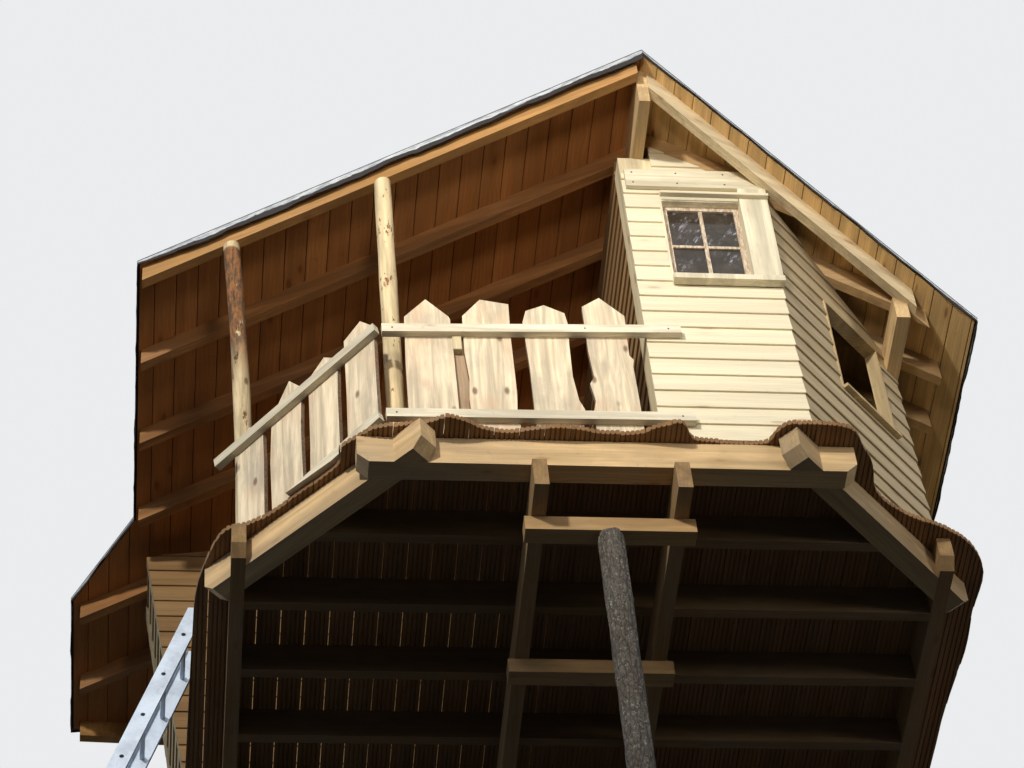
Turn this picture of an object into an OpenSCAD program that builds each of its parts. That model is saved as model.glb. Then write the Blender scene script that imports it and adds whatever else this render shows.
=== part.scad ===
// Tree house on a timber platform: a covered deck at the left and a boarded cabin at the right
// +Z is up, the front faces -Y, and the origin is the middle of the prop log's foot

/* [Platform] */
// Length of the prop log under the front of the platform
prop_len = 3100; // [2000:50:6000]
// Diameter of the prop log
prop_d = 147; // [110:1:200]
// Half the length of the front side of the platform
front_half = 1130; // [1000:10:1300]
// How far each corner of the platform is cut back
corner_cut = 820; // [640:10:1000]
// Length of the straight left and right sides of the platform
side_len = 3200; // [2800:50:4000]
// Length of the rear room along the straight left side
rear_room_len = 1000; // [850:50:1300]
// Distance from the prop log's axis to the front face of the platform
prop_inset = 230; // [180:5:300]
// Height of the ring beams
ring_h = 200; // [150:5:260]
// Width of the ring beams
ring_w = 120; // [80:5:160]
// Width of the ring beams along the straight sides
side_beam_w = 78; // [60:2:120]
// How far the ring beams run on past a corner
ring_end = 190; // [120:5:260]
// Chamfer under the free end of a ring beam
ring_chamfer = 60; // [20:5:100]
// Height of the two main beams
main_h = 200; // [150:5:260]
// Width of the two main beams
main_w = 78; // [60:2:120]
// Distance from the middle to the axis of a main beam
main_x = 375; // [250:5:450]
// Height of the cross beams under the main beams
cross_h = 100; // [80:5:160]
// Width of the cross beams
cross_w = 100; // [80:5:160]
// Length of the cross beams
cross_len = 900; // [860:10:1200]
// Distance between the cross beams
cross_pitch = 1020; // [600:10:1600]
// Distance between the joists
joist_pitch = 500; // [400:10:600]
// Width of a joist
joist_w = 60; // [40:2:100]
// Thickness of the decking
deck_t = 35; // [22:1:50]
// How far the decking runs out past the ring beams at its widest places
deck_lap = 230; // [200:5:260]

/* [Railing] */
// Height of the front top rail above the deck, at its left end
rail_height = 880; // [700:10:1100]
// Height of a rail's face
rail_h = 68; // [45:1:90]
// Thickness of a rail
rail_t = 42; // [30:1:60]
// Thickness of the slab boards
slab_t = 28; // [20:1:40]
// Width of a slab board
slab_w = 262; // [220:2:280]
// Width of the slab boards of the left railing
left_slab_w = 222; // [180:2:240]

/* [Posts] */
// Diameter of the peeled log posts
log_d = 104; // [80:2:130]
// Width of the square post under the ridge
post_w = 190; // [120:5:190]

/* [Roof] */
// Pitch of the left side of the roof
left_pitch = 8.8; // [6:0.1:11]
// Pitch of the right side of the roof
right_pitch = 35; // [30:0.5:38]
// Height of the roof's highest line above the deck
ridge_height = 2965; // [2650:5:3250]
// Place of the ridge, to the right of the middle
ridge_x = 420; // [400:5:440]
// Width of the ridge beam
ridge_w = 65; // [50:1:80]
// Height of the ridge beam with what lies on it
ridge_beam_h = 350; // [280:5:420]
// How far the roof's front tip stands out past the platform
tip_out = 500; // [400:10:600]
// Distance from the ridge to the left eave
left_run = 2910; // [2600:10:3200]
// Distance from the ridge to the right eave
right_run = 1915; // [1800:5:2100]
// Depth of a rafter
rafter_h = 130; // [100:5:160]
// Width of a rafter
rafter_w = 60; // [40:2:80]
// Distance between the rafters on the left
left_rafter_pitch = 630; // [500:10:800]
// Distance between the rafters on the right
right_rafter_pitch = 370; // [300:10:600]
// Thickness of the roof boards
sheathing_t = 22; // [18:1:30]
// Thickness of the roof felt
felt_t = 5; // [3:1:10]

/* [Cabin] */
// Thickness of the walls, with their siding
wall_t = 80; // [60:2:84]
// Thickness of the siding over the square post
siding_t = 20; // [16:1:28]
// Width of the casing board at the right of the front window
casing_w = 154; // [100:2:200]
// Height of the front window's opening
window_h = 780; // [600:10:820]
// Height of the siding between the window and the frieze board
window_head = 100; // [40:5:200]
// Height of the frieze board
frieze_h = 170; // [120:5:200]
// Distance from the frieze board up to the ridge beam
frieze_drop = 170; // [120:5:220]
// Width of the opening in the right front wall
hatch_w = 520; // [400:5:600]
// Height of the opening in the right front wall
hatch_h = 800; // [600:10:820]
// Height of the wall over that opening, at its low end
hatch_head = 114; // [60:2:200]
// Width of the wall between that opening and the right wall
hatch_side = 187; // [120:2:250]
// Width of the doorway from the deck
door_w = 700; // [600:10:900]
// Height of the doorway
door_h = 1850; // [1700:10:2000]
// How far the rear left wall leans out
lean = 7.5; // [0:0.5:9]

/* [Ladder] */
// Width of the ladder over its stiles
ladder_w = 335; // [300:5:450]
// Distance from the platform's front to the ladder
ladder_back = 1500; // [1250:10:1900]
// Distance between the rungs
rung_pitch = 330; // [250:5:350]
// How far the ladder leans from upright
ladder_lean = 18.4; // [15:0.2:21]
// Depth of a ladder stile
stile_depth = 95; // [60:1:110]

/* [Hidden] */
$fn = 48;

// Gap between pieces that seat against each other without touching
seat = 0.3;

// Heights from the ground up
main_z = prop_len + cross_h;
ring_z = main_z + main_h;
ring_top = ring_z + ring_h;
deck_z = ring_top + deck_t;
ridge_z = deck_z + ridge_height;

// Plan of the platform, by the outer faces of the ring beams
front_y = -prop_inset;
side_x = front_half + corner_cut;
side_front_y = front_y + corner_cut;
side_back_y = side_front_y + side_len;
back_y = side_back_y + corner_cut;
mid_y = (front_y + back_y) / 2;
diagonal_len = corner_cut * sqrt(2);

// Heights of the roof's upper face on each side
function left_top(x) = ridge_z - (ridge_x - x) * tan(left_pitch);
function right_top(x) = ridge_z - (x - ridge_x) * tan(right_pitch);

// Vertical depth of a layer that is t thick
function left_drop(t) = t / cos(left_pitch);
function right_drop(t) = t / cos(right_pitch);
cover_t = sheathing_t + felt_t;
function left_rafter_top(x) = left_top(x) - left_drop(cover_t);
function right_rafter_top(x) = right_top(x) - right_drop(cover_t);
function left_under(x) = left_rafter_top(x) - left_drop(rafter_h);
function right_under(x) = right_rafter_top(x) - right_drop(rafter_h);

// Plan of the roof: its front edges slant back from the tip at the ridge
left_skew = 0.45;
right_skew = 0.46;
back_skew = 0.2;
tail_out = 450;
tip_y = front_y - tip_out;
tail_y = back_y + tail_out;
left_eave_x = ridge_x - left_run;
right_eave_x = ridge_x + right_run;
flare_out = 390;
flare_len = 650;
flare_lead = 200;
flare_x = left_eave_x - flare_out;
rear_room_y = side_back_y - rear_room_len;
flare_y = rear_room_y - flare_lead;
felt_lip = 18;
past_roof = 200;

// Smooth closed curve through a list of points, n steps to a span
function blend(a, b, c, d, t) = 0.5 * (2 * b + (c - a) * t + (2 * a - 5 * b + 4 * c - d) * t * t
    + (3 * b - a - 3 * c + d) * t * t * t);
function smooth(p, n) = [
    for (i = [0 : len(p) - 1], s = [0 : n - 1])
        blend(p[(i + len(p) - 1) % len(p)], p[i], p[(i + 1) % len(p)], p[(i + 2) % len(p)], s / n)
];

// Extrudes a drawing made in X and Z along Y, from y0 to y1
module across(y0, y1) {
    translate([0, y1, 0])
        rotate([90, 0, 0])
            linear_extrude(y1 - y0)
                children();
}

// Straight peeled log with a few swellings, cut flat at both ends
module log_pole(d, h, swell) {
    r = d / 2;
    waves = 10;
    rotate_extrude()
        polygon(concat(
            [[0, 0]],
            [for (i = [0 : waves]) [r + swell * sin(i * 137) - r * 0.05 * i / waves, h * i / waves]],
            [[0, h]]
        ));
}

// A beam's outline from above is a bar, and its free ends are chamfered underneath
module beam_profile(len_, h, start_cut, end_cut) {
    polygon([
        [0, start_cut],
        [start_cut, 0],
        [len_ - end_cut, 0],
        [len_, end_cut],
        [len_, h],
        [0, h]
    ]);
}

// Ring beam between two corners, with its outer face on the line from a to b
module ring_bar(a, b, w) {
    d = b - a;
    angle = atan2(d[1], d[0]);
    full = norm(d) + 2 * ring_end;
    translate([a[0], a[1], ring_z])
        rotate([0, 0, angle])
            translate([-ring_end, 0, 0])
                across(0, w)
                    beam_profile(full, ring_h, ring_chamfer, ring_chamfer);
}

// Corners of the ring, counted from the front left, against the clock from above
corners = [
    [-front_half, front_y], [front_half, front_y],
    [side_x, side_front_y], [side_x, side_back_y],
    [front_half, back_y], [-front_half, back_y],
    [-side_x, side_back_y], [-side_x, side_front_y]
];
function corner(i) = corners[(i + 8) % 8];
module side(i) {
    ring_bar(corner(i), corner(i + 1), i == 2 || i == 6 ? side_beam_w : ring_w);
}

// Straight sides keep their lower half where a corner beam crosses them
module straight_side(i) {
    difference() {
        side(i);
        for (k = [-1, 1])
            intersection() {
                side(i + k);
                translate([0, mid_y, ring_z + ring_h])
                    cube([4 * side_x, 4 * back_y, ring_h], center = true);
            }
    }
}

// Corner sides keep their upper half
module corner_side(i) {
    difference() {
        side(i);
        for (k = [-1, 1])
            intersection() {
                side(i + k);
                translate([0, mid_y, ring_z])
                    cube([4 * side_x, 4 * back_y, ring_h], center = true);
            }
    }
}

// Area inside the ring beams, for what lies between them
module ring_inside(gap) {
    difference() {
        polygon(corners);
        for (i = [0 : 7])
            translate(corner(i))
                rotate(atan2((corner(i + 1) - corner(i))[1], (corner(i + 1) - corner(i))[0]))
                    translate([-ring_end, 0])
                        square([norm(corner(i + 1) - corner(i)) + 2 * ring_end,
                            gap + (i == 2 || i == 6 ? side_beam_w : ring_w)]);
    }
}

module prop_log() {
    color("dimgray")
        log_pole(prop_d, prop_len, 3);
}

module cross_beams() {
    color("burlywood")
        for (y = [0, cross_pitch])
            translate([-cross_len / 2, y - cross_w / 2, prop_len])
                cube([cross_len, cross_w, cross_h]);
}

main_out = 40;
module main_beams() {
    color("burlywood")
        for (s = [-1, 1])
            translate([s * main_x - main_w / 2, front_y - main_out, main_z])
                cube([main_w, back_y - front_y + 2 * main_out, main_h]);
}

module front_ring_beam() {
    color("wheat") straight_side(0);
}
module right_front_ring_beam() {
    color("wheat") corner_side(1);
}
module right_ring_beam() {
    color("burlywood") straight_side(2);
}
module back_ring_beam() {
    color("burlywood") straight_side(4);
}
module left_ring_beam() {
    color("burlywood") straight_side(6);
}
module left_front_ring_beam() {
    color("wheat") corner_side(7);
}
module back_corner_ring_beams() {
    color("burlywood") {
        corner_side(3);
        corner_side(5);
    }
}

// Joists lie on the main beams, between the ring beams, flush with their tops
joist_count = floor((back_y - front_y - 2 * ring_w) / joist_pitch);
module floor_joists() {
    color("peru")
        intersection() {
            translate([0, 0, ring_z])
                linear_extrude(ring_h)
                    ring_inside(seat);
            for (i = [1 : joist_count])
                translate([-side_x, front_y + i * joist_pitch, ring_z])
                    cube([2 * side_x, joist_w, ring_h]);
        }
}

// Wavy edge of the decking: side of the ring, share of the way along it, share of the full lap
deck_waves = [
    [7, 0.775, 0.55], [7, 0.865, 0.55], [7, 0.98, 0.42], [0, 0.08, 0.46], [0, 0.118, 0.6],
    [0, 0.172, 0.45], [0, 0.207, 0.27], [0, 0.267, 0.17], [0, 0.316, 0.26], [0, 0.374, 0.35],
    [0, 0.432, 0.32], [0, 0.484, 0.21], [0, 0.534, 0.22], [0, 0.583, 0.29], [0, 0.615, 0.46],
    [0, 0.672, 0.57], [0, 0.7, 0.14], [0, 0.74, 0.04], [0, 0.87, 0.03], [0, 0.9, 0.4],
    [0, 0.939, 0.64], [1, 0.01, 0.86], [1, 0.153, 0.75],
    [1, 0.269, 0.58], [1, 0.419, 0.15], [1, 0.619, 0.28], [1, 0.831, 0.71], [1, 0.981, 0.83],
    [2, 0.016, 1], [2, 0.109, 0.96], [2, 0.203, 1], [2, 0.375, 0.83], [2, 0.812, 0.78],
    [2, 1, 0.87], [3, 0.062, 0.92], [3, 0.775, 0.61], [3, 1.044, 0.58], [4, 0.279, 0.65],
    [4, 0.544, 0.52], [4, 0.765, 0.7], [5, -0.044, 0.58], [5, 0.225, 0.61], [5, 0.962, 0.92],
    [6, 0, 1], [6, 0.188, 0.96], [6, 0.625, 0.87], [6, 0.797, 0.83], [6, 0.922, 0.74],
    [7, 0.03, 0.5], [7, 0.16, 0.3], [7, 0.27, 0.19], [7, 0.42, 0.18], [7, 0.6, 0.18], [7, 0.72, 0.24]
];
deck_edge = [
    for (wave = deck_waves)
        let (a = corner(wave[0]), d = corner(wave[0] + 1) - a, out = [d[1], -d[0]] / norm(d))
            a + d * wave[1] + out * deck_lap * wave[2]
];
module deck() {
    color("tan")
        translate([0, 0, ring_top])
            linear_extrude(deck_t)
                polygon(smooth(deck_edge, 4));
}

// Railing: rails nailed on the outside of upright slab boards
post_left_x = 300;
post_right_x = post_left_x + post_w;
rail_back_y = front_y;
rail_over = 30;
rail_left_x = -front_half - rail_over;
rail_len = post_right_x - rail_left_x;
top_rail_rise = 1.9;
low_rail_rise = 0.8;
low_rail_height = 120;
module front_rail(height, rise, h) {
    translate([rail_left_x, 0, deck_z + height])
        rotate([0, -rise, 0])
            across(rail_back_y - rail_t, rail_back_y - seat)
                translate([0, -h])
                    square([rail_len, h]);
}
module front_rails() {
    color("palegoldenrod") {
        front_rail(rail_height, top_rail_rise, rail_h);
        front_rail(low_rail_height + rail_h / 2, low_rail_rise, rail_h);
    }
}

// Each slab board has its own outline: shares of its width from its middle, and of its height
module slab_outline(form, w, h) {
    polygon([for (p = form) [p[0] * w, p[1] * h]]);
}
front_slab_tops = [1160, 1170, 1135, 1215];
front_slab_forms = [
    [[-0.5, 0], [0.53, 0], [0.52, 0.35], [0.49, 0.85], [0.46, 0.87], [0, 1], [-0.47, 0.86], [-0.5, 0.5]],
    [[-0.45, 0], [0.5, 0], [0.49, 0.13], [0.46, 0.17], [0.49, 0.3], [0.48, 0.7], [0.5, 0.97],
        [-0.1, 1], [-0.5, 0.87], [-0.52, 0.6], [-0.46, 0.4], [-0.5, 0.25]],
    [[-0.44, 0], [0.53, 0], [0.54, 0.12], [0.6, 0.2], [0.5, 0.27], [0.43, 0.45], [0.44, 0.7],
        [0.47, 0.85], [0.42, 0.94], [0, 1], [-0.4, 0.95], [-0.49, 0.86], [-0.44, 0.5]],
    [[-0.45, 0], [0.51, 0], [0.49, 0.3], [0.47, 0.5], [0.5, 0.55], [0.42, 0.58], [0.44, 0.87],
        [-0.05, 1], [-0.44, 0.93], [-0.43, 0.6], [-0.38, 0.42], [-0.48, 0.37], [-0.41, 0.25], [-0.5, 0.15]]
];
first_slab_in = 225;
last_slab_gap = 221;
front_slab_x = -front_half + first_slab_in;
front_slab_pitch = (post_left_x - last_slab_gap - front_slab_x) / 3;
module front_slab_boards() {
    color("navajowhite")
        for (i = [0 : 3])
            translate([front_slab_x + i * front_slab_pitch, 0, deck_z])
                across(rail_back_y, rail_back_y + slab_t)
                    slab_outline(front_slab_forms[i], slab_w, front_slab_tops[i]);
}

// The left railing stands on the corner side, and drops towards its far end
left_rail_angle = 135;
module on_left_front() {
    translate([-front_half, front_y, 0])
        rotate([0, 0, left_rail_angle])
            children();
}
left_slab_pitch = 271;
left_slab_x = 165;
left_slab_tops = [1055, 968, 982, 832];
left_slab_forms = [
    [[-0.5, 0], [0.5, 0], [0.48, 0.5], [0.5, 0.93], [-0.05, 1], [-0.47, 0.88], [-0.47, 0.4]],
    [[-0.47, 0], [0.5, 0], [0.47, 0.3], [0.48, 0.9], [-0.05, 1], [-0.43, 0.92], [-0.49, 0.86], [-0.46, 0.6]],
    [[-0.5, 0], [0.52, 0], [0.56, 0.4], [0.5, 0.78], [-0.1, 1], [-0.5, 0.87], [-0.46, 0.5]],
    [[-0.45, 0], [0.42, 0], [0.44, 0.84], [0.05, 1], [-0.42, 0.89], [-0.45, 0.55]]
];
slab_back = 8;
module left_slab_boards() {
    color("navajowhite")
        on_left_front()
            for (i = [0 : 3])
                translate([left_slab_x + i * left_slab_pitch, 0, deck_z])
                    across(slab_back, slab_back + slab_t)
                        slab_outline(left_slab_forms[i], left_slab_w, left_slab_tops[i]);
}
left_top_drop = 9;
left_low_drop = 12;
left_top_lift = 10;
left_low_lift = 20;
left_rail_len = 1200;
left_low_rail_len = 880;
rail_corner_gap = 32;
module left_rail(height, drop, length, h) {
    on_left_front()
        translate([rail_corner_gap, 0, deck_z + height])
            rotate([0, drop, 0])
                across(slab_back + slab_t + seat, slab_back + slab_t + rail_t)
                    translate([0, -h])
                        square([length, h]);
}
module left_rails() {
    color("palegoldenrod")
        difference() {
            union() {
                left_rail(rail_height + left_top_lift, left_top_drop, left_rail_len, rail_h);
                left_rail(low_rail_height + left_low_lift, left_low_drop, left_low_rail_len, rail_h);
            }
            translate([-2 * side_x, front_y, deck_z + seat - ring_h])
                cube([2 * side_x, corner_cut + front_half, ring_h]);
        }
}

// Log posts stand under the left verge rafter, with their tops cut to its slope
verge_inset = 20;
right_verge_inset = 85;
right_verge_over = 50;
verge_y = tip_y + verge_inset * sqrt(1 + left_skew * left_skew);
function verge_mid(x) = verge_y + rafter_w / 2 + left_skew * (ridge_x - x);
corner_log_x = 50 - front_half;
module corner_log_post() {
    color("palegoldenrod")
        difference() {
            translate([corner_log_x, verge_mid(corner_log_x), deck_z])
                log_pole(log_d, left_under(corner_log_x) + log_d - deck_z, 2);
            translate([0, 0, -seat])
                left_band(-rafter_h, cover_t + rafter_h, corner_log_x - log_d, corner_log_x + log_d);
        }
}

// The left log post bends outwards, so it is swept along a curve
left_log_foot = [80 - side_x, side_front_y + 45];
left_log_x = -side_x - 5;
left_log_head = [left_log_x, verge_mid(left_log_x)];
log_sides = 20;
log_rings = 14;
function log_centre(t) = left_log_foot + (left_log_head - left_log_foot) * pow(t, 2.2);
function log_radius(t) = log_d / 2 * (1 - 0.06 * t) - 1.2 + 1.2 * sin(t * 900);
log_points = [
    for (i = [0 : log_rings], j = [0 : log_sides - 1])
        let (t = i / log_rings, c = log_centre(t), a = 360 * j / log_sides, r = log_radius(t))
            let (x = c[0] + r * cos(a))
                [x, c[1] + r * sin(a), (left_under(x) - seat - deck_z) * t]
];
log_faces = concat(
    [[for (j = [0 : log_sides - 1]) j]],
    [for (i = [0 : log_rings - 1], j = [0 : log_sides - 1])
        let (k = (j + 1) % log_sides, n = i * log_sides)
            [n + j, n + log_sides + j, n + log_sides + k, n + k]],
    [[for (j = [log_sides - 1 : -1 : 0]) log_rings * log_sides + j]]
);
module left_log_post() {
    color("tan")
        translate([0, 0, deck_z])
            polyhedron(points = log_points, faces = log_faces, convexity = 4);
}

post_depth = 150;
post_z = ridge_z - ridge_beam_h;
module ridge_post() {
    color("palegoldenrod")
        translate([post_left_x, front_y + siding_t, deck_z])
            cube([post_w, post_depth, post_z - deck_z]);
}

beam_set_back = 110;
module ridge_beam() {
    x0 = ridge_x - ridge_w / 2;
    x1 = ridge_x + ridge_w / 2;
    color("burlywood")
        across(tip_y + beam_set_back, tail_y - beam_set_back)
            polygon([
                [x0, post_z], [x1, post_z], [x1, right_rafter_top(x1)],
                [ridge_x, right_rafter_top(ridge_x)], [x0, left_rafter_top(x0)]
            ]);
}

// Band between two depths under the roof's upper face
module left_band(t0, t1, x0, x1) {
    across(tip_y - past_roof, tail_y + past_roof)
        polygon([
            [x0, left_top(x0) - left_drop(t1)], [x1, left_top(x1) - left_drop(t1)],
            [x1, left_top(x1) - left_drop(t0)], [x0, left_top(x0) - left_drop(t0)]
        ]);
}
module right_band(t0, t1, x0, x1) {
    across(tip_y - past_roof, tail_y + past_roof)
        polygon([
            [x0, right_top(x0) - right_drop(t1)], [x1, right_top(x1) - right_drop(t1)],
            [x1, right_top(x1) - right_drop(t0)], [x0, right_top(x0) - right_drop(t0)]
        ]);
}

// Roof plans, each grown outwards by a lip
module left_plan(lip) {
    polygon([
        [ridge_x, tip_y - lip], [left_eave_x - lip, tip_y - lip + left_skew * (left_run + lip)],
        [left_eave_x - lip, flare_y], [flare_x - lip, flare_y + flare_len],
        [flare_x - lip, tail_y + lip - back_skew * (ridge_x - flare_x)], [ridge_x, tail_y + lip]
    ]);
}
module right_plan(lip) {
    polygon([
        [ridge_x, tip_y - lip], [right_eave_x + lip, tip_y - lip + right_skew * (right_run + lip)],
        [right_eave_x + lip, tail_y + lip - back_skew * right_run], [ridge_x, tail_y + lip]
    ]);
}

// Strip of plan for a rafter that starts at y0 on the ridge and slants back by skew
module rafter_strip(y0, skew, side_sign, run) {
    w = rafter_w * sqrt(1 + skew * skew);
    polygon([
        [ridge_x, y0], [ridge_x, y0 + w],
        [ridge_x + side_sign * run, y0 + w + skew * run], [ridge_x + side_sign * run, y0 + skew * run]
    ]);
}
// Each verge rafter follows an edge of the roof's plan, and the others end against it
back_verge_y = tail_y - verge_inset - rafter_w * sqrt(1 + back_skew * back_skew);
right_verge_skew = 0.48;
right_verge_y = tip_y + right_verge_inset;
right_verge_run = side_x - ridge_x + right_verge_over;
rafter_foot = 45;
right_rafter_foot = 140;
left_reach = ridge_x - flare_x;
module left_rafter_zone() {
    intersection() {
        left_band(cover_t, cover_t + rafter_h, flare_x + rafter_foot, ridge_x - ridge_w / 2);
        linear_extrude(2 * ridge_z)
            intersection() {
                left_plan(-rafter_foot / 3);
                children();
            }
    }
}
module right_rafter_zone() {
    intersection() {
        right_band(cover_t, cover_t + rafter_h, ridge_x + ridge_w / 2, right_eave_x - right_rafter_foot);
        linear_extrude(2 * ridge_z)
            intersection() {
                right_plan(-rafter_foot / 3);
                children();
            }
    }
}
module verge_rafters() {
    color("peru") {
        left_rafter_zone() rafter_strip(verge_y, left_skew, -1, left_reach);
        left_rafter_zone() rafter_strip(back_verge_y, -back_skew, -1, left_reach);
        right_rafter_zone() rafter_strip(right_verge_y, right_verge_skew, 1, right_verge_run);
        right_rafter_zone() rafter_strip(back_verge_y, -back_skew, 1, right_run);
    }
}

// Plan between the front and the back verge rafters
module between_verges(front_verge_y, skew, side_sign, run) {
    w = rafter_w * sqrt(1 + skew * skew);
    polygon([
        [ridge_x, front_verge_y + w + seat],
        [ridge_x + side_sign * run, front_verge_y + w + skew * run + seat],
        [ridge_x + side_sign * run, back_verge_y - back_skew * run - seat],
        [ridge_x, back_verge_y - seat]
    ]);
}
left_rafter_count = floor((tail_y - tip_y) / left_rafter_pitch) - 1;
module left_rafters() {
    color("peru")
        left_rafter_zone()
            intersection() {
                between_verges(verge_y, left_skew, -1, left_reach);
                for (i = [1 : left_rafter_count])
                    rafter_strip(verge_y + i * left_rafter_pitch, left_skew, -1, left_reach);
            }
}
first_rafter_y = front_y + siding_t;
right_rafter_count = floor((back_y - front_y - siding_t - rafter_w) / right_rafter_pitch);
module right_rafters() {
    color("peru")
        right_rafter_zone()
            intersection() {
                between_verges(right_verge_y, right_verge_skew, 1, right_run);
                for (i = [0 : right_rafter_count])
                    rafter_strip(first_rafter_y + i * right_rafter_pitch, 0, 1, right_run);
            }
}

module left_sheathing() {
    color("chocolate")
        intersection() {
            left_band(felt_t, cover_t, flare_x, ridge_x);
            linear_extrude(2 * ridge_z)
                left_plan(0);
        }
}
module right_sheathing() {
    color("chocolate")
        intersection() {
            right_band(felt_t, cover_t, ridge_x, right_eave_x);
            linear_extrude(2 * ridge_z)
                right_plan(0);
        }
}
module left_roof_felt() {
    color("dimgray")
        intersection() {
            left_band(0, felt_t, flare_x - felt_lip, ridge_x);
            linear_extrude(2 * ridge_z)
                left_plan(felt_lip);
        }
}
module right_roof_felt() {
    color("dimgray")
        intersection() {
            right_band(0, felt_t, ridge_x, right_eave_x + felt_lip);
            linear_extrude(2 * ridge_z)
                right_plan(felt_lip);
        }
}

// Walls: each is a bar in plan with mitred ends at the platform's corners
mitre = wall_t * tan(22.5);
wall_top = ridge_z;
plate_h = 130;
plate_x = side_x - wall_t;
plate_bottom = right_under(side_x) - plate_h;

// Space under the right side's rafters
module under_right() {
    across(tip_y, tail_y)
        polygon([
            [ridge_x, deck_z], [side_x + past_roof, deck_z],
            [side_x + past_roof, right_under(side_x + past_roof)], [ridge_x, right_under(ridge_x)]
        ]);
}
// Space under the left side's rafters and outside the leaning wall's face
room_out = 150;
room_left_x = -side_x - room_out;
function lean_x(z) = room_left_x - (z - deck_z) * tan(lean);
module under_left() {
    top_x = lean_x(left_under(room_left_x));
    across(tip_y, tail_y)
        polygon([
            [lean_x(deck_z), deck_z], [ridge_x, deck_z], [ridge_x, left_under(ridge_x)],
            [top_x, left_under(top_x)]
        ]);
}

// Wall along a corner side, from corner i to corner i + 1, mitred at both ends
module corner_wall_plan(i) {
    a = corner(i);
    d = corner(i + 1) - a;
    translate([a[0], a[1]])
        rotate([0, 0, atan2(d[1], d[0])])
            polygon([[0, 0], [norm(d), 0], [norm(d) - mitre, wall_t], [mitre, wall_t]]);
}

casing_over = 6;
window_x = post_right_x + 12;
window_w = front_half + casing_over - casing_w - window_x;
frieze_z = post_z - frieze_drop - frieze_h;
window_z = frieze_z - window_head - window_h;
module front_wall() {
    color("palegoldenrod")
        difference() {
            intersection() {
                union() {
                    under_right();
                    translate([post_left_x, front_y, deck_z])
                        cube([post_w, siding_t, frieze_z + frieze_h - deck_z]);
                }
                translate([0, 0, deck_z])
                    linear_extrude(wall_top)
                        polygon([
                            [post_left_x, front_y], [front_half, front_y],
                            [front_half - mitre, front_y + wall_t], [post_left_x, front_y + wall_t]
                        ]);
            }
            translate([post_left_x - 1, front_y + siding_t, deck_z - 1])
                cube([post_w + 1, wall_t, wall_top]);
            translate([post_left_x - 1, front_y - 1, frieze_z + frieze_h])
                cube([post_w + 1, wall_t + 2, wall_top]);
            translate([window_x, front_y - 1, window_z])
                cube([window_w, wall_t + 2, window_h]);
        }
}

trim_t = 25;
frieze_set_back = 18;
frieze_over = 28;
// Room round the right verge rafter, which passes close over the frieze board and the casing
module verge_room() {
    translate([0, seat, -seat])
        intersection() {
            right_band(0, cover_t + rafter_h, post_right_x, right_eave_x);
            linear_extrude(2 * ridge_z)
                rafter_strip(right_verge_y, right_verge_skew, 1, right_run);
        }
}
module frieze_board() {
    color("palegoldenrod")
        difference() {
            translate([post_left_x + frieze_set_back, front_y - trim_t, frieze_z])
                cube([front_half + frieze_over - post_left_x - frieze_set_back, trim_t, frieze_h]);
            translate([0, 0, -seat])
                right_band(-rafter_h, cover_t, post_right_x, right_eave_x);
            verge_room();
        }
}

// Casing: right-hand board, sill and the boards that line the opening
lining_t = 12;
sill_t = 45;
sill_out = 50;
module window_casing() {
    color("palegoldenrod") {
        difference() {
            translate([window_x + window_w - lining_t, front_y - trim_t, window_z])
                cube([casing_w + lining_t, trim_t, frieze_z - window_z]);
            verge_room();
        }
        translate([window_x, front_y - sill_out, window_z + lining_t - sill_t])
            cube([window_w + casing_w, sill_out, sill_t]);
        difference() {
            translate([window_x, front_y, window_z])
                cube([window_w, wall_t, window_h]);
            translate([window_x + lining_t, front_y - 1, window_z + lining_t])
                cube([window_w - 2 * lining_t, wall_t + 2, window_h - 2 * lining_t]);
        }
    }
}

// Sash: outer frame with one upright and one level bar
sash_w = 32;
sash_t = 30;
sash_y = front_y + 42;
bar_w = 22;
pane_w = window_w - 2 * lining_t - 2 * seat;
pane_h = window_h - 2 * lining_t - 2 * seat;
pane_x = window_x + lining_t + seat;
pane_z = window_z + lining_t + seat;
glass_t = 4;
module window_sash() {
    color("tan")
        difference() {
            union() {
                difference() {
                    translate([pane_x, sash_y, pane_z])
                        cube([pane_w, sash_t, pane_h]);
                    translate([pane_x + sash_w, sash_y - 1, pane_z + sash_w])
                        cube([pane_w - 2 * sash_w, sash_t + 2, pane_h - 2 * sash_w]);
                }
                translate([pane_x + pane_w / 2 - bar_w / 2, sash_y + 4, pane_z])
                    cube([bar_w, sash_t - 8, pane_h]);
                translate([pane_x, sash_y + 4, pane_z + pane_h / 2 - bar_w / 2])
                    cube([pane_w, sash_t - 8, bar_w]);
            }
            translate([pane_x + sash_w - 8, glass_y, pane_z + sash_w - 8])
                cube([pane_w - 2 * sash_w + 16, glass_t, pane_h - 2 * sash_w + 16]);
        }
}
glass_y = sash_y + sash_t / 2 - glass_t / 2;
module window_glass() {
    color("slategray")
        translate([pane_x + sash_w - 8, glass_y, pane_z + sash_w - 8])
            cube([pane_w - 2 * sash_w + 16, glass_t, pane_h - 2 * sash_w + 16]);
}

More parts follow.
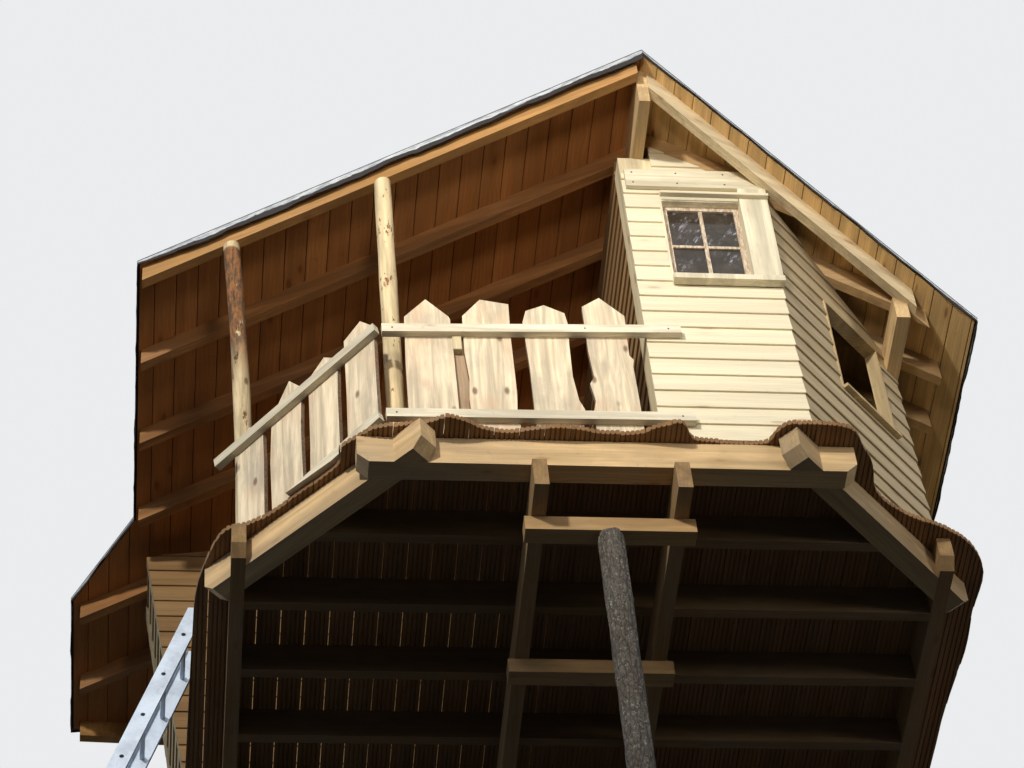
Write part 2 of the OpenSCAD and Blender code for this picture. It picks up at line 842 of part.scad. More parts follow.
// The right front wall has an opening without glass
hatch_s = diagonal_len - hatch_side - hatch_w;
hatch_z = right_under(side_x - hatch_side / sqrt(2)) - hatch_head - hatch_h;
hatch_sill_out = 30;
hatch_sill_t = 24;
module on_right_front() {
    translate([front_half, front_y, 0])
        rotate([0, 0, 45])
            children();
}
module right_front_wall() {
    color("tan")
        difference() {
            intersection() {
                under_right();
                translate([0, 0, deck_z])
                    linear_extrude(wall_top)
                        corner_wall_plan(1);
            }
            on_right_front()
                translate([hatch_s, -1, hatch_z])
                    cube([hatch_w, wall_t + 2, hatch_h]);
            plate_bar(seat);
        }
}
module hatch_lining() {
    color("saddlebrown")
        on_right_front() {
            difference() {
                translate([hatch_s, 0, hatch_z])
                    cube([hatch_w, wall_t, hatch_h]);
                translate([hatch_s + lining_t, -1, hatch_z + lining_t])
                    cube([hatch_w - 2 * lining_t, wall_t + 2, hatch_h - 2 * lining_t]);
            }
            translate([hatch_s, -hatch_sill_out, hatch_z + lining_t - hatch_sill_t])
                cube([hatch_w, hatch_sill_out, hatch_sill_t]);
        }
}

// Plate on the right wall, which runs forward to carry the front edge of the roof
cut_over = 100;
plate_set_back = 30;
plate_front_y = right_verge_y + right_verge_skew * (side_x - ridge_x) + plate_set_back;
module plate_bar(gap) {
    across(plate_front_y - gap, side_back_y + gap)
        polygon([
            [plate_x - gap, plate_bottom - gap], [side_x + gap, plate_bottom - gap],
            [side_x + gap, right_under(side_x) + cut_over * gap],
            [plate_x - gap, right_under(plate_x) + cut_over * gap]
        ]);
}
module right_wall_plate() {
    color("burlywood")
        plate_bar(0);
}
module right_wall() {
    color("tan")
        translate([0, 0, deck_z])
            linear_extrude(plate_bottom - deck_z)
                corner_wall_plan(2);
}
module back_right_wall() {
    color("tan")
        difference() {
            intersection() {
                under_right();
                translate([0, 0, deck_z])
                    linear_extrude(wall_top)
                        corner_wall_plan(3);
            }
            plate_bar(seat);
        }
}
module back_wall() {
    color("tan")
        difference() {
            intersection() {
                union() {
                    under_right();
                    under_left();
                }
                translate([0, 0, deck_z])
                    linear_extrude(wall_top)
                        corner_wall_plan(4);
            }
            translate([ridge_x - ridge_w / 2, 0, post_z])
                cube([ridge_w, 2 * tail_y, wall_top]);
        }
}

// The rear room's corner wall runs on to the leaning wall's outer face
module back_left_wall() {
    color("tan")
        intersection() {
            under_left();
            translate([-2 * side_x, rear_room_y + wall_t, deck_z])
                cube([2 * side_x, back_y, wall_top]);
            translate([0, 0, deck_z])
                linear_extrude(wall_top)
                    translate([-front_half, back_y])
                        rotate([0, 0, 225])
                            polygon([[0, 0], [side_x, 0], [side_x, wall_t], [mitre, wall_t]]);
        }
}
module rear_left_wall() {
    inner = wall_t / cos(lean);
    top_x = lean_x(left_under(room_left_x));
    color("burlywood")
        intersection() {
            across(rear_room_y + wall_t, back_y)
                polygon([
                    [lean_x(deck_z), deck_z], [lean_x(deck_z) + inner, deck_z],
                    [top_x + inner, left_under(top_x + inner)], [top_x, left_under(top_x)]
                ]);
            linear_extrude(2 * ridge_z)
                translate([-front_half, back_y])
                    rotate([0, 0, 225])
                        translate([0, wall_t])
                            square([2 * side_x, 2 * side_x]);
        }
}
module rear_front_wall() {
    color("palegoldenrod")
        intersection() {
            under_left();
            translate([-2 * side_x, rear_room_y, deck_z])
                cube([2 * side_x + post_left_x, wall_t, wall_top]);
        }
}

// Wall between the deck and the cabin, in three pieces round the doorway
door_side = 150;
door_y = rear_room_y - door_side - door_w;
deck_wall_y = front_y + siding_t + post_depth;
module deck_wall_piece(y0, y1, z0) {
    color("tan")
        across(y0, y1)
            polygon([
                [post_left_x, z0], [post_left_x + wall_t, z0],
                [post_left_x + wall_t, left_under(post_left_x + wall_t)],
                [post_left_x, left_under(post_left_x)]
            ]);
}
module deck_wall() {
    deck_wall_piece(deck_wall_y, door_y, deck_z);
    deck_wall_piece(door_y + door_w, rear_room_y + wall_t, deck_z);
}
module deck_wall_lintel() {
    deck_wall_piece(door_y, door_y + door_w, deck_z + door_h);
}

// Ladder: channel stiles and round rungs, leaning on the left edge of the deck
ladder_over = 250;
ladder_top_z = deck_z + ladder_over;
ladder_y = front_y + ladder_back;
edge_line = smooth(deck_edge, 4);
function edge_x(y, i = 0) = i >= len(edge_line) - 1 ? -side_x
    : edge_line[i][0] < -side_x && (edge_line[i][1] - y) * (edge_line[i + 1][1] - y) <= 0
    ? edge_line[i][0] + (edge_line[i + 1][0] - edge_line[i][0]) * (y - edge_line[i][1])
        / (edge_line[i + 1][1] - edge_line[i][1])
    : edge_x(y, i + 1);
stile_w = 25;
stile_wall = 3;
rung_d = 28;
rung_wall = 2;
first_rung = 350;
ladder_spare = 200;
ladder_touch_x = min([for (y = [0, stile_w, ladder_w - stile_w, ladder_w]) edge_x(ladder_y + y)]);
ladder_len = ladder_top_z / cos(ladder_lean);
rung_count = floor((ladder_len - ladder_spare / 2 - first_rung) / rung_pitch);
module stile() {
    difference() {
        cube([stile_depth, stile_w, ladder_len + ladder_spare]);
        translate([stile_wall, stile_wall, -1])
            cube([stile_depth - 2 * stile_wall, stile_w, ladder_len + ladder_spare + 2]);
    }
}
module rungs(d, length) {
    for (i = [0 : rung_count])
        translate([stile_depth / 2, (ladder_w - length) / 2, first_rung + i * rung_pitch])
            rotate([-90, 0, 0])
                cylinder(d = d, h = length);
}
module on_ladder() {
    foot_x = ladder_touch_x - deck_z * tan(ladder_lean) - stile_depth / cos(ladder_lean) - seat;
    translate([foot_x, ladder_y, 0])
        rotate([0, ladder_lean, 0])
            translate([0, 0, -ladder_spare / 2])
                children();
}
module ladder_stiles() {
    color("lightsteelblue")
        intersection() {
            on_ladder()
                difference() {
                    union() {
                        stile();
                        translate([0, ladder_w, 0])
                            mirror([0, 1, 0])
                                stile();
                    }
                    rungs(rung_d + 2 * seat, ladder_w + 2);
                }
            translate([-3 * side_x, front_y, 0])
                cube([3 * side_x, 2 * back_y, ladder_top_z]);
        }
}
module ladder_rungs() {
    color("lightsteelblue")
        on_ladder()
            difference() {
                rungs(rung_d, ladder_w);
                rungs(rung_d - 2 * rung_wall, ladder_w + 2);
            }
}

prop_log();
cross_beams();
main_beams();
front_ring_beam();
left_front_ring_beam();
left_ring_beam();
back_ring_beam();
right_ring_beam();
right_front_ring_beam();
back_corner_ring_beams();
floor_joists();
deck();
front_rails();
left_rails();
front_slab_boards();
left_slab_boards();
corner_log_post();
left_log_post();
ridge_post();
ridge_beam();
right_wall_plate();
verge_rafters();
left_rafters();
right_rafters();
left_sheathing();
right_sheathing();
left_roof_felt();
right_roof_felt();
front_wall();
frieze_board();
window_casing();
window_sash();
window_glass();
right_front_wall();
hatch_lining();
right_wall();
back_right_wall();
back_wall();
back_left_wall();
rear_left_wall();
rear_front_wall();
deck_wall();
deck_wall_lintel();
ladder_stiles();
ladder_rungs();
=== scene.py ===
"""Looks of the tree house, dressed over its solids: boards, bark, felt, siding, nails and finishes.

Metres. +Z is up, the front faces -Y, and the origin is the prop log's foot.
"""
import math
import random

import bmesh
import bpy
from bpy.props import FloatProperty, FloatVectorProperty, IntProperty, PointerProperty
from mathutils import Matrix, Vector, noise


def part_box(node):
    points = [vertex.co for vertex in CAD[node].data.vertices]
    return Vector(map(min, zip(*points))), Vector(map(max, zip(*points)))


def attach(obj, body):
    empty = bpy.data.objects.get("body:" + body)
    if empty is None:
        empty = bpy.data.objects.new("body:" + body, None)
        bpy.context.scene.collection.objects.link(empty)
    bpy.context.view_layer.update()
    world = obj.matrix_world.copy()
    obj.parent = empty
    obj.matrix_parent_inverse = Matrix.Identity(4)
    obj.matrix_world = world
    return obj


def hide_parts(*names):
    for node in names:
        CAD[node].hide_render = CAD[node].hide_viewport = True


bl_info = {
    "name": "Tree house",
    "version": (1, 0, 0),
    "blender": (4, 5, 0),
    "location": "View3D > Sidebar > Tree house",
    "description": "Dresses the tree house with boards, bark, felt, siding and weathered finishes",
    "category": "Object",
}

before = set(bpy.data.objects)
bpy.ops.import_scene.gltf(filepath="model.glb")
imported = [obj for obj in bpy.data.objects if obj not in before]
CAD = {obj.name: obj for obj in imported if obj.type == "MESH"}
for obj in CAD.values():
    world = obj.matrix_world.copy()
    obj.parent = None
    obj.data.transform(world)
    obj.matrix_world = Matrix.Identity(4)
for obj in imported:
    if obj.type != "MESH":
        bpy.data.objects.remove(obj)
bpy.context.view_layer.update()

# Plan of the platform and heights, as in the part's source
FRONT_Y = -0.23
FRONT_HALF = 1.13
SIDE_X = 1.95
SIDE_FRONT_Y = 0.59
SIDE_BACK_Y = 3.79
BACK_Y = 4.61
DECK_Z = 3.635
POST_X = 0.30
REAR_ROOM_Y = 2.79
LEAN = math.radians(7.5)
LADDER_LEAN = math.radians(18.4)
LEAN_X = -2.1

# Roof
RIDGE_X = 0.42
RIDGE_Z = 6.6
LEFT_PITCH = math.radians(8.8)
RIGHT_PITCH = math.radians(35)
FELT_T = 0.005
BOARD_T = 0.022
TIP_Y = FRONT_Y - 0.5
TAIL_Y = BACK_Y + 0.45
LEFT_SKEW = 0.45
RIGHT_SKEW = 0.46
BACK_SKEW = 0.2
LEFT_EAVE_X = RIDGE_X - 2.91
RIGHT_EAVE_X = RIDGE_X + 1.915
FLARE_X = LEFT_EAVE_X - 0.39
FLARE_Y = REAR_ROOM_Y - 0.2
LIP = 0.018

CORNERS = [
    (-FRONT_HALF, FRONT_Y), (FRONT_HALF, FRONT_Y), (SIDE_X, SIDE_FRONT_Y), (SIDE_X, SIDE_BACK_Y),
    (FRONT_HALF, BACK_Y), (-FRONT_HALF, BACK_Y), (-SIDE_X, SIDE_BACK_Y), (-SIDE_X, SIDE_FRONT_Y),
]


# ---------------------------------------------------------------- sizes and colours


class TreeHouseSizes(bpy.types.PropertyGroup):
    """Sizes of what is laid over the solids."""

    deck_pitch: FloatProperty(name="Decking pitch", description="Distance between deck boards",
                              default=0.133, unit="LENGTH")
    deck_gap: FloatProperty(name="Decking gap", description="Gap between deck boards",
                            default=0.005, unit="LENGTH")
    roof_pitch: FloatProperty(name="Roof board pitch", description="Distance between roof boards",
                              default=0.130, unit="LENGTH")
    siding_cover: FloatProperty(name="Siding cover", description="Height of siding that one board shows",
                                default=0.140, unit="LENGTH")
    siding_t: FloatProperty(name="Siding thickness", description="Thickness of a siding board's lower edge",
                            default=0.020, unit="LENGTH")
    nail_r: FloatProperty(name="Nail head radius", description="Radius of a nail's head",
                          default=0.006, unit="LENGTH")
    seed: IntProperty(name="Seed", description="Start of the boards' small differences", default=11)


class TreeHouseColours(bpy.types.PropertyGroup):
    """Base colours of the finishes."""

    cream: FloatVectorProperty(name="Fresh timber", description="Rails, trim and siding", subtype="COLOR",
                               size=3, default=(0.81, 0.69, 0.44))
    tan: FloatVectorProperty(name="Beams", description="Sawn beams and joists", subtype="COLOR",
                             size=3, default=(0.44, 0.275, 0.12))
    orange: FloatVectorProperty(name="Roof boards", description="Boards under the felt", subtype="COLOR",
                                size=3, default=(0.54, 0.235, 0.072))
    slab: FloatVectorProperty(name="Slab boards", description="Waney boards of the railing", subtype="COLOR",
                              size=3, default=(0.74, 0.62, 0.44))
    log: FloatVectorProperty(name="Peeled log", description="Log posts", subtype="COLOR",
                             size=3, default=(0.70, 0.56, 0.33))
    metal: FloatVectorProperty(name="Ladder", description="Aluminium of the ladder", subtype="COLOR",
                               size=3, default=(0.60, 0.68, 0.79))


def sizes():
    return bpy.context.scene.tree_house_sizes


def colours():
    return bpy.context.scene.tree_house_colours


# ---------------------------------------------------------------- shader maths


class Flow:
    """A shader socket that takes part in sums: a + b, 1 - a, a * b, a / b."""

    def __init__(self, tree, socket):
        self.tree, self.socket = tree, socket

    def _reckon(self, operation, *values, clamp=False):
        n = self.tree.nodes.new("ShaderNodeMath")
        n.operation, n.use_clamp = operation, clamp
        for slot, value in zip(n.inputs, values):
            if isinstance(value, Flow):
                self.tree.links.new(value.socket, slot)
            else:
                slot.default_value = value
        return Flow(self.tree, n.outputs[0])

    def __add__(self, other):
        return self._reckon("ADD", self, other)

    __radd__ = __add__

    def __mul__(self, other):
        return self._reckon("MULTIPLY", self, other)

    __rmul__ = __mul__

    def __sub__(self, other):
        return self._reckon("SUBTRACT", self, other)

    def __rsub__(self, other):
        return self._reckon("SUBTRACT", other, self)

    def __truediv__(self, other):
        return self._reckon("DIVIDE", self, other)

    def __rtruediv__(self, other):
        return self._reckon("DIVIDE", other, self)

    def part(self):
        return self._reckon("FRACT", self)

    def size(self):
        return self._reckon("ABSOLUTE", self)

    def capped(self):
        return self._reckon("ADD", self, 0.0, clamp=True)

    def rise(self, low, high):
        """0 below low, 1 above high, smooth between them. With low above high it falls."""
        n = self.tree.nodes.new("ShaderNodeMapRange")
        n.interpolation_type = "SMOOTHSTEP"
        self.tree.links.new(self.socket, n.inputs["Value"])
        n.inputs["From Min"].default_value, n.inputs["From Max"].default_value = low, high
        return Flow(self.tree, n.outputs["Result"])


class Finish:
    """A procedural material under the making."""

    def __init__(self, name):
        self.material = bpy.data.materials.new(name)
        self.material.use_nodes = True
        self.tree = self.material.node_tree
        self.shader = self.tree.nodes["Principled BSDF"]
        self.output = self.tree.nodes["Material Output"]

    def node(self, kind, settings=None, out=0, **values):
        """Adds a node, sets it up, fills its inputs by name and returns the wanted output."""
        n = self.tree.nodes.new(kind)
        for key, value in (settings or {}).items():
            setattr(n, key, value)
        for key, value in values.items():
            self.put(n.inputs[key.replace("_", " ")], value)
        return Flow(self.tree, n.outputs[out])

    def put(self, socket, value):
        if isinstance(value, Flow):
            self.tree.links.new(value.socket, socket)
        elif hasattr(socket.default_value, "__len__") and len(socket.default_value) == 4 and len(value) == 3:
            socket.default_value = (*value, 1)
        else:
            socket.default_value = value

    def place(self):
        return self.node("ShaderNodeTexCoord", out="Object")

    def facing(self):
        """The surface's normal, split in its three parts."""
        return self.split(self.node("ShaderNodeTexCoord", out="Normal"))

    def layer(self, name):
        return self.node("ShaderNodeUVMap", {"uv_map": name}, out="UV")

    def split(self, vector):
        n = self.tree.nodes.new("ShaderNodeSeparateXYZ")
        self.tree.links.new(vector.socket, n.inputs[0])
        return [Flow(self.tree, o) for o in n.outputs]

    def point(self, x, y, z):
        n = self.tree.nodes.new("ShaderNodeCombineXYZ")
        for slot, value in zip(n.inputs, (x, y, z)):
            self.put(slot, value)
        return Flow(self.tree, n.outputs[0])

    def turned(self, vector, angles):
        return self.node("ShaderNodeMapping", Vector=vector, Rotation=angles)

    def stretched(self, vector, scale, shift=(0.0, 0.0, 0.0)):
        return self.node("ShaderNodeMapping", Vector=vector, Scale=scale, Location=shift)

    def cloud(self, vector, scale, detail=3.0, rough=0.55, warp=0.0):
        return self.node("ShaderNodeTexNoise", Vector=vector, Scale=scale, Detail=detail,
                         Roughness=rough, Distortion=warp)

    def cells(self, vector, scale, out="Distance", **settings):
        return self.node("ShaderNodeTexVoronoi", settings, out=out, Vector=vector, Scale=scale)

    def mixed(self, share, a, b):
        n = self.tree.nodes.new("ShaderNodeMix")
        n.data_type = "RGBA"
        self.put(n.inputs[0], share)
        self.put(n.inputs[6], a)
        self.put(n.inputs[7], b)
        return Flow(self.tree, n.outputs[2])

    def bump(self, height, strength, distance):
        return self.node("ShaderNodeBump", Height=height, Strength=strength, Distance=distance)

    def done(self, **values):
        for key, value in values.items():
            self.put(self.shader.inputs[key.replace("_", " ")], value)
        return self.material


def shade(colour, factor):
    return tuple(c * factor for c in colour)


def tinted(colour, *factors):
    """A colour with each of its three parts multiplied."""
    return tuple(c * factor for c, factor in zip(colour, factors))


def timber(name, base, grain="uv", knots=0.5, tone=0.25, weather=0.25, dirt=0.2, rough=0.78,
           pale=1.18, dark=0.62, fibre=0.6, grey=(0.36, 0.31, 0.25)):
    """Sawn timber. grain is "uv" for boards that carry their own layers, or the turn that brings
    the grain of a solid on to X in object coordinates."""
    f = Finish(name)
    if grain == "uv":
        u, v, _ = f.split(f.layer("grain"))
        board, other, _ = f.split(f.layer("board"))
        along = f.point(u, v, board * 7.0)
    else:
        along = f.turned(f.place(), grain)
        board = f.cloud(f.stretched(along, (0.05, 1.1, 1.1)), 1.0, 1.0)
        other = board
    wide = f.cloud(f.stretched(along, (0.55, 9.0, 9.0)), 1.0, 4.0, 0.6, 0.6)
    rings = f.node("ShaderNodeTexWave", {"wave_type": "BANDS", "bands_direction": "Y"},
                   Vector=f.stretched(along, (0.35, 1.0, 1.0)), Scale=14.0, Distortion=9.0,
                   Detail=2.0, Detail_Scale=0.7)
    fibres = f.cloud(f.stretched(along, (3.0, 140.0, 140.0)), 1.0, 2.0, 0.6)
    spots = f.cells(f.stretched(along, (2.6, 7.5, 7.5)), 1.0)
    knot = spots.rise(0.15, 0.05) * knots
    halo = spots.rise(0.34, 0.1) * knots * 0.45
    age = f.cloud(f.stretched(along, (0.9, 2.2, 2.2)), 1.0, 5.0, 0.65)
    lit = f.mixed(wide.rise(0.3, 0.72), shade(base, pale), shade(base, dark))
    lit = f.mixed(rings * 0.28, lit, shade(base, dark * 0.9))
    lit = f.mixed((1.0 - fibres.rise(0.25, 0.6)) * 0.28, lit, shade(base, dark * 0.7))
    lit = f.mixed(halo, lit, shade(tinted(base, 1.0, 0.82, 0.7), 0.62))
    lit = f.mixed(knot, lit, tinted(base, 0.32, 0.2, 0.14))
    lit = f.mixed(age.rise(0.42, 0.75) * weather, lit, grey)
    lit = f.mixed((board - 0.5).size() * tone, lit, shade(base, 1.35))
    lit = f.mixed((1.0 - board) * tone, lit, shade(tinted(base, 1.0, 0.88, 0.78), 0.55))
    specks = f.cloud(f.place(), 23.0, 6.0, 0.7)
    lit = f.mixed(specks.rise(0.56, 0.74) * dirt, lit, (0.07, 0.055, 0.04))
    relief = fibres * fibre + wide * 0.5 - knot * 0.4 + rings * 0.25
    return f.done(Base_Color=lit, Roughness=(rough - 0.1 + wide * 0.2 + other * 0.04).capped(),
                  Normal=f.bump(relief, 0.6, 0.0011), Specular_IOR_Level=0.3)


def peeled(name, base, bark_from=None, cut_at=99.0):
    """Peeled log: pale, with knots and scraps of bark, more of it above bark_from, none past cut_at."""
    f = Finish(name)
    at = f.place()
    _, _, z = f.split(at)
    streak = f.cloud(f.stretched(at, (26.0, 26.0, 1.6)), 1.0, 4.0, 0.6)
    patch = f.cloud(f.stretched(at, (15.0, 15.0, 5.0)), 1.0, 5.0, 0.7)
    knot = f.cells(f.stretched(at, (9.0, 9.0, 4.2)), 1.0).rise(0.17, 0.07)
    lit = f.mixed(streak.rise(0.32, 0.7), shade(base, 1.2), shade(base, 0.62))
    scraps = patch.rise(0.60, 0.66)
    if bark_from is not None:
        above = z.rise(bark_from - 0.35, bark_from + 0.15)
        scraps = (scraps + patch.rise(0.34, 0.4) * above).capped() * z.rise(cut_at + 0.01, cut_at - 0.01)
    lit = f.mixed(knot * 0.8, lit, (0.10, 0.05, 0.022))
    rind = f.mixed(f.cloud(f.stretched(at, (40.0, 40.0, 9.0)), 1.0, 5.0, 0.7).rise(0.4, 0.62),
                   (0.05, 0.022, 0.012), (0.30, 0.115, 0.035))
    lit = f.mixed(scraps * 0.92, lit, rind)
    relief = streak * 0.35 + scraps * 1.1 + knot * 0.6
    return f.done(Base_Color=lit, Roughness=(0.62 + scraps * 0.25 + streak * 0.1).capped(),
                  Normal=f.bump(relief, 0.8, 0.0025), Specular_IOR_Level=0.35)


def bark(name):
    """Grey bark, finely scaled, speckled with pale lichen."""
    f = Finish(name)
    at = f.place()
    plates = f.cells(f.stretched(at, (38.0, 38.0, 13.0)), 1.0, out="Distance", feature="DISTANCE_TO_EDGE")
    grainy = f.cloud(f.stretched(at, (85.0, 85.0, 34.0)), 1.0, 6.0, 0.7)
    big = f.cloud(f.stretched(at, (7.0, 7.0, 2.5)), 1.0, 4.0, 0.6)
    crack = plates.rise(0.10, 0.02) * big.rise(0.35, 0.6)
    lit = f.mixed(grainy.rise(0.32, 0.68), (0.050, 0.043, 0.037), (0.17, 0.15, 0.125))
    lit = f.mixed(big.rise(0.45, 0.7) * 0.55, lit, (0.10, 0.075, 0.055))
    lichen = f.cloud(at, 62.0, 5.0, 0.75).rise(0.555, 0.60) * f.cloud(at, 9.0, 2.0, 0.5).rise(0.35, 0.6)
    lit = f.mixed(lichen * 0.8, lit, (0.40, 0.40, 0.34))
    lit = f.mixed(crack * 0.6, lit, (0.022, 0.018, 0.015))
    relief = plates.rise(0.0, 0.2) * 0.6 + grainy * 0.7 + lichen * 0.2
    return f.done(Base_Color=lit, Roughness=(0.86 + grainy * 0.1).capped(),
                  Normal=f.bump(relief, 1.0, 0.004), Specular_IOR_Level=0.2)


def felt_top(name):
    """Black mineral felt in lapped strips, with pale grit and dust."""
    f = Finish(name)
    at = f.place()
    _, y, _ = f.split(at)
    grit = f.cloud(at, 420.0, 2.0, 0.6)
    dusty = f.cloud(at, 1.7, 6.0, 0.65)
    lapped = ((y + 0.31) / 0.9).part()
    seam = lapped.rise(0.975, 0.99)
    ripple = f.cloud(f.stretched(at, (2.5, 5.0, 2.5)), 1.0, 2.0, 0.5)
    lit = f.mixed(grit.rise(0.45, 0.62), (0.012, 0.012, 0.014), (0.085, 0.088, 0.095))
    lit = f.mixed(dusty.rise(0.45, 0.75) * 0.4, lit, (0.13, 0.115, 0.09))
    lit = f.mixed(seam * 0.8, lit, (0.006, 0.006, 0.007))
    relief = grit * 0.25 + seam * 1.5 + ripple * 2.0
    return f.done(Base_Color=lit, Roughness=(0.83 + dusty * 0.1).capped(),
                  Normal=f.bump(relief, 0.7, 0.002), Specular_IOR_Level=0.3)


def felt_edge(name):
    """The felt's turned-down edge: silver grey and streaked above, and dark below as painted shade, for the
    shaded underside of the boards' overhang.
    """
    f = Finish(name)
    at = f.place()
    u, v, _ = f.split(f.layer("grain"))
    blotch = f.cloud(f.point(u * 9.0, v * 3.0, 0.0), 1.0, 5.0, 0.7)
    fine = f.cloud(at, 160.0, 3.0, 0.6)
    band_wave = f.cloud(f.point(u * 4.0, v * 0.6, 1.7), 1.0, 4.0, 0.65) - 0.5
    # The dark lower band of the strip is painted shade, with a wavy upper edge.
    painted_shade_band = (v + band_wave * 0.9).rise(0.54, 0.47)
    lit = f.mixed(blotch.rise(0.35, 0.65), (0.26, 0.28, 0.31), (0.66, 0.69, 0.73))
    lit = f.mixed(painted_shade_band, lit, (0.013, 0.010, 0.009))
    return f.done(Base_Color=lit, Roughness=(0.5 + fine * 0.3).capped(),
                  Normal=f.bump(blotch + fine * 0.5, 0.5, 0.0015), Specular_IOR_Level=0.4)


def old_paint(name):
    """Brown sash paint, bleached, with scraped pale patches."""
    f = Finish(name)
    at = f.place()
    scraped = f.cloud(f.stretched(at, (70.0, 70.0, 24.0)), 1.0, 6.0, 0.7)
    streak = f.cloud(f.stretched(at, (60.0, 60.0, 8.0)), 1.0, 4.0, 0.6)
    lit = f.mixed(streak.rise(0.35, 0.65), (0.38, 0.27, 0.17), (0.56, 0.44, 0.31))
    bare = scraped.rise(0.48, 0.56)
    lit = f.mixed(bare * 0.85, lit, (0.70, 0.62, 0.50))
    return f.done(Base_Color=lit, Roughness=(0.55 + bare * 0.3).capped(),
                  Normal=f.bump(scraped * 0.6 + streak * 0.4, 0.6, 0.0012), Specular_IOR_Level=0.4)


def dusty_glass(name):
    """Window glass, dark as painted shade for the unlit room behind it, with dust and dried rain, and pale
    slanted streaks that are a painted reflection.
    """
    f = Finish(name)
    at = f.place()
    dust = f.cloud(at, 9.0, 7.0, 0.7)
    runs = f.cloud(f.stretched(at, (40.0, 40.0, 3.0)), 1.0, 4.0, 0.65)
    slanted = f.turned(at, (0.0, math.radians(-28), 0.0))
    # Pale slanted streaks: a painted reflection.
    painted_reflection = f.cloud(f.stretched(slanted, (34.0, 34.0, 9.0)), 1.0, 5.0, 0.7).rise(0.5, 0.66)
    painted_reflection = painted_reflection * f.cloud(at, 7.0, 2.0, 0.5).rise(0.45, 0.62)
    lit = f.mixed((dust.rise(0.4, 0.75) * 0.4 + runs.rise(0.5, 0.8) * 0.3).capped(),
                  (0.035, 0.026, 0.019), (0.13, 0.115, 0.095))
    lit = f.mixed(painted_reflection * 0.85, lit, (0.46, 0.46, 0.55))
    return f.done(Base_Color=lit, Roughness=(0.06 + dust.rise(0.45, 0.8) * 0.25).capped(),
                  Specular_IOR_Level=0.4)


def aluminium(name, base, along=(0.0, 0.0, 0.0)):
    """Drawn aluminium: fine lines along the ladder, dull oxide and scuffs."""
    f = Finish(name)
    at = f.turned(f.place(), along)
    lines = f.cloud(f.stretched(at, (380.0, 380.0, 2.5)), 1.0, 2.0, 0.6)
    dull = f.cloud(at, 6.0, 6.0, 0.7)
    scuff = f.cloud(f.stretched(at, (30.0, 90.0, 12.0)), 1.0, 5.0, 0.75).rise(0.62, 0.7)
    lit = f.mixed(dull.rise(0.35, 0.7), shade(base, 1.12), shade(base, 0.78))
    lit = f.mixed(scuff * 0.5, lit, (0.16, 0.16, 0.17))
    return f.done(Base_Color=lit, Metallic=0.55, Roughness=(0.36 + dull * 0.25 + scuff * 0.2).capped(),
                  Normal=f.bump(lines, 0.3, 0.0004))


def iron(name, base=(0.075, 0.065, 0.06)):
    """Nail heads: dull zinc gone dark, with a little rust."""
    f = Finish(name)
    rust = f.cloud(f.place(), 150.0, 5.0, 0.7).rise(0.45, 0.62)
    lit = f.mixed(rust * 0.7, base, (0.16, 0.06, 0.025))
    return f.done(Base_Color=lit, Metallic=0.7, Roughness=(0.45 + rust * 0.35).capped(),
                  Normal=f.bump(rust, 0.4, 0.0004))


_finishes = {}


def finish(name, make, *details, **more):
    """Each finish is made once and shared."""
    if name not in _finishes:
        _finishes[name] = make(name, *details, **more)
    return _finishes[name]


ALONG_X = (0.0, 0.0, 0.0)
ALONG_Y = (0.0, 0.0, -math.pi / 2)
ALONG_Z = (0.0, math.pi / 2, 0.0)


def along_plan(degrees):
    """Turn for a beam that lies at that angle in plan."""
    return (0.0, 0.0, -math.radians(degrees))


ALONG_LEFT_VERGE = along_plan(-math.degrees(math.atan(LEFT_SKEW)))
ALONG_RIGHT_VERGE = along_plan(math.degrees(math.atan(RIGHT_SKEW)))


# ---------------------------------------------------------------- modelling


def deselect():
    if bpy.context.object and bpy.context.object.mode != "OBJECT":
        bpy.ops.object.mode_set(mode="OBJECT")
    bpy.ops.object.select_all(action="DESELECT")


def only(o):
    deselect()
    o.select_set(True)
    bpy.context.view_layer.objects.active = o
    return o


def edit(o):
    """Opens a piece in edit mode with all of it selected."""
    only(o)
    bpy.ops.object.mode_set(mode="EDIT")
    bpy.ops.mesh.select_all(action="SELECT")


def close():
    bpy.ops.object.mode_set(mode="OBJECT")


def block(name, low, high, ease=0.0):
    """A sawn block between two corners, its edges eased a little."""
    low, high = Vector(low), Vector(high)
    deselect()
    bpy.ops.mesh.primitive_cube_add(size=1, location=(low + high) / 2)
    o = bpy.context.object
    o.name = name
    o.scale = high - low
    bpy.ops.object.transform_apply(location=True, rotation=True, scale=True)
    if ease:
        edit(o)
        bpy.ops.mesh.bevel(offset=ease, segments=1, affect="EDGES")
        close()
    return o


def copied(o, matrix=None, name=None):
    twin = o.copy()
    twin.data = o.data.copy()
    twin.name = name or o.name
    bpy.context.collection.objects.link(twin)
    if matrix is not None:
        twin.data.transform(matrix)
    return twin


def removed(o):
    mesh = o.data
    bpy.data.objects.remove(o)
    bpy.data.meshes.remove(mesh)


def joined(name, parts):
    deselect()
    for o in parts:
        o.select_set(True)
    bpy.context.view_layer.objects.active = parts[0]
    if len(parts) > 1:
        bpy.ops.object.join()
    whole = bpy.context.view_layer.objects.active
    whole.name = whole.data.name = name
    return whole


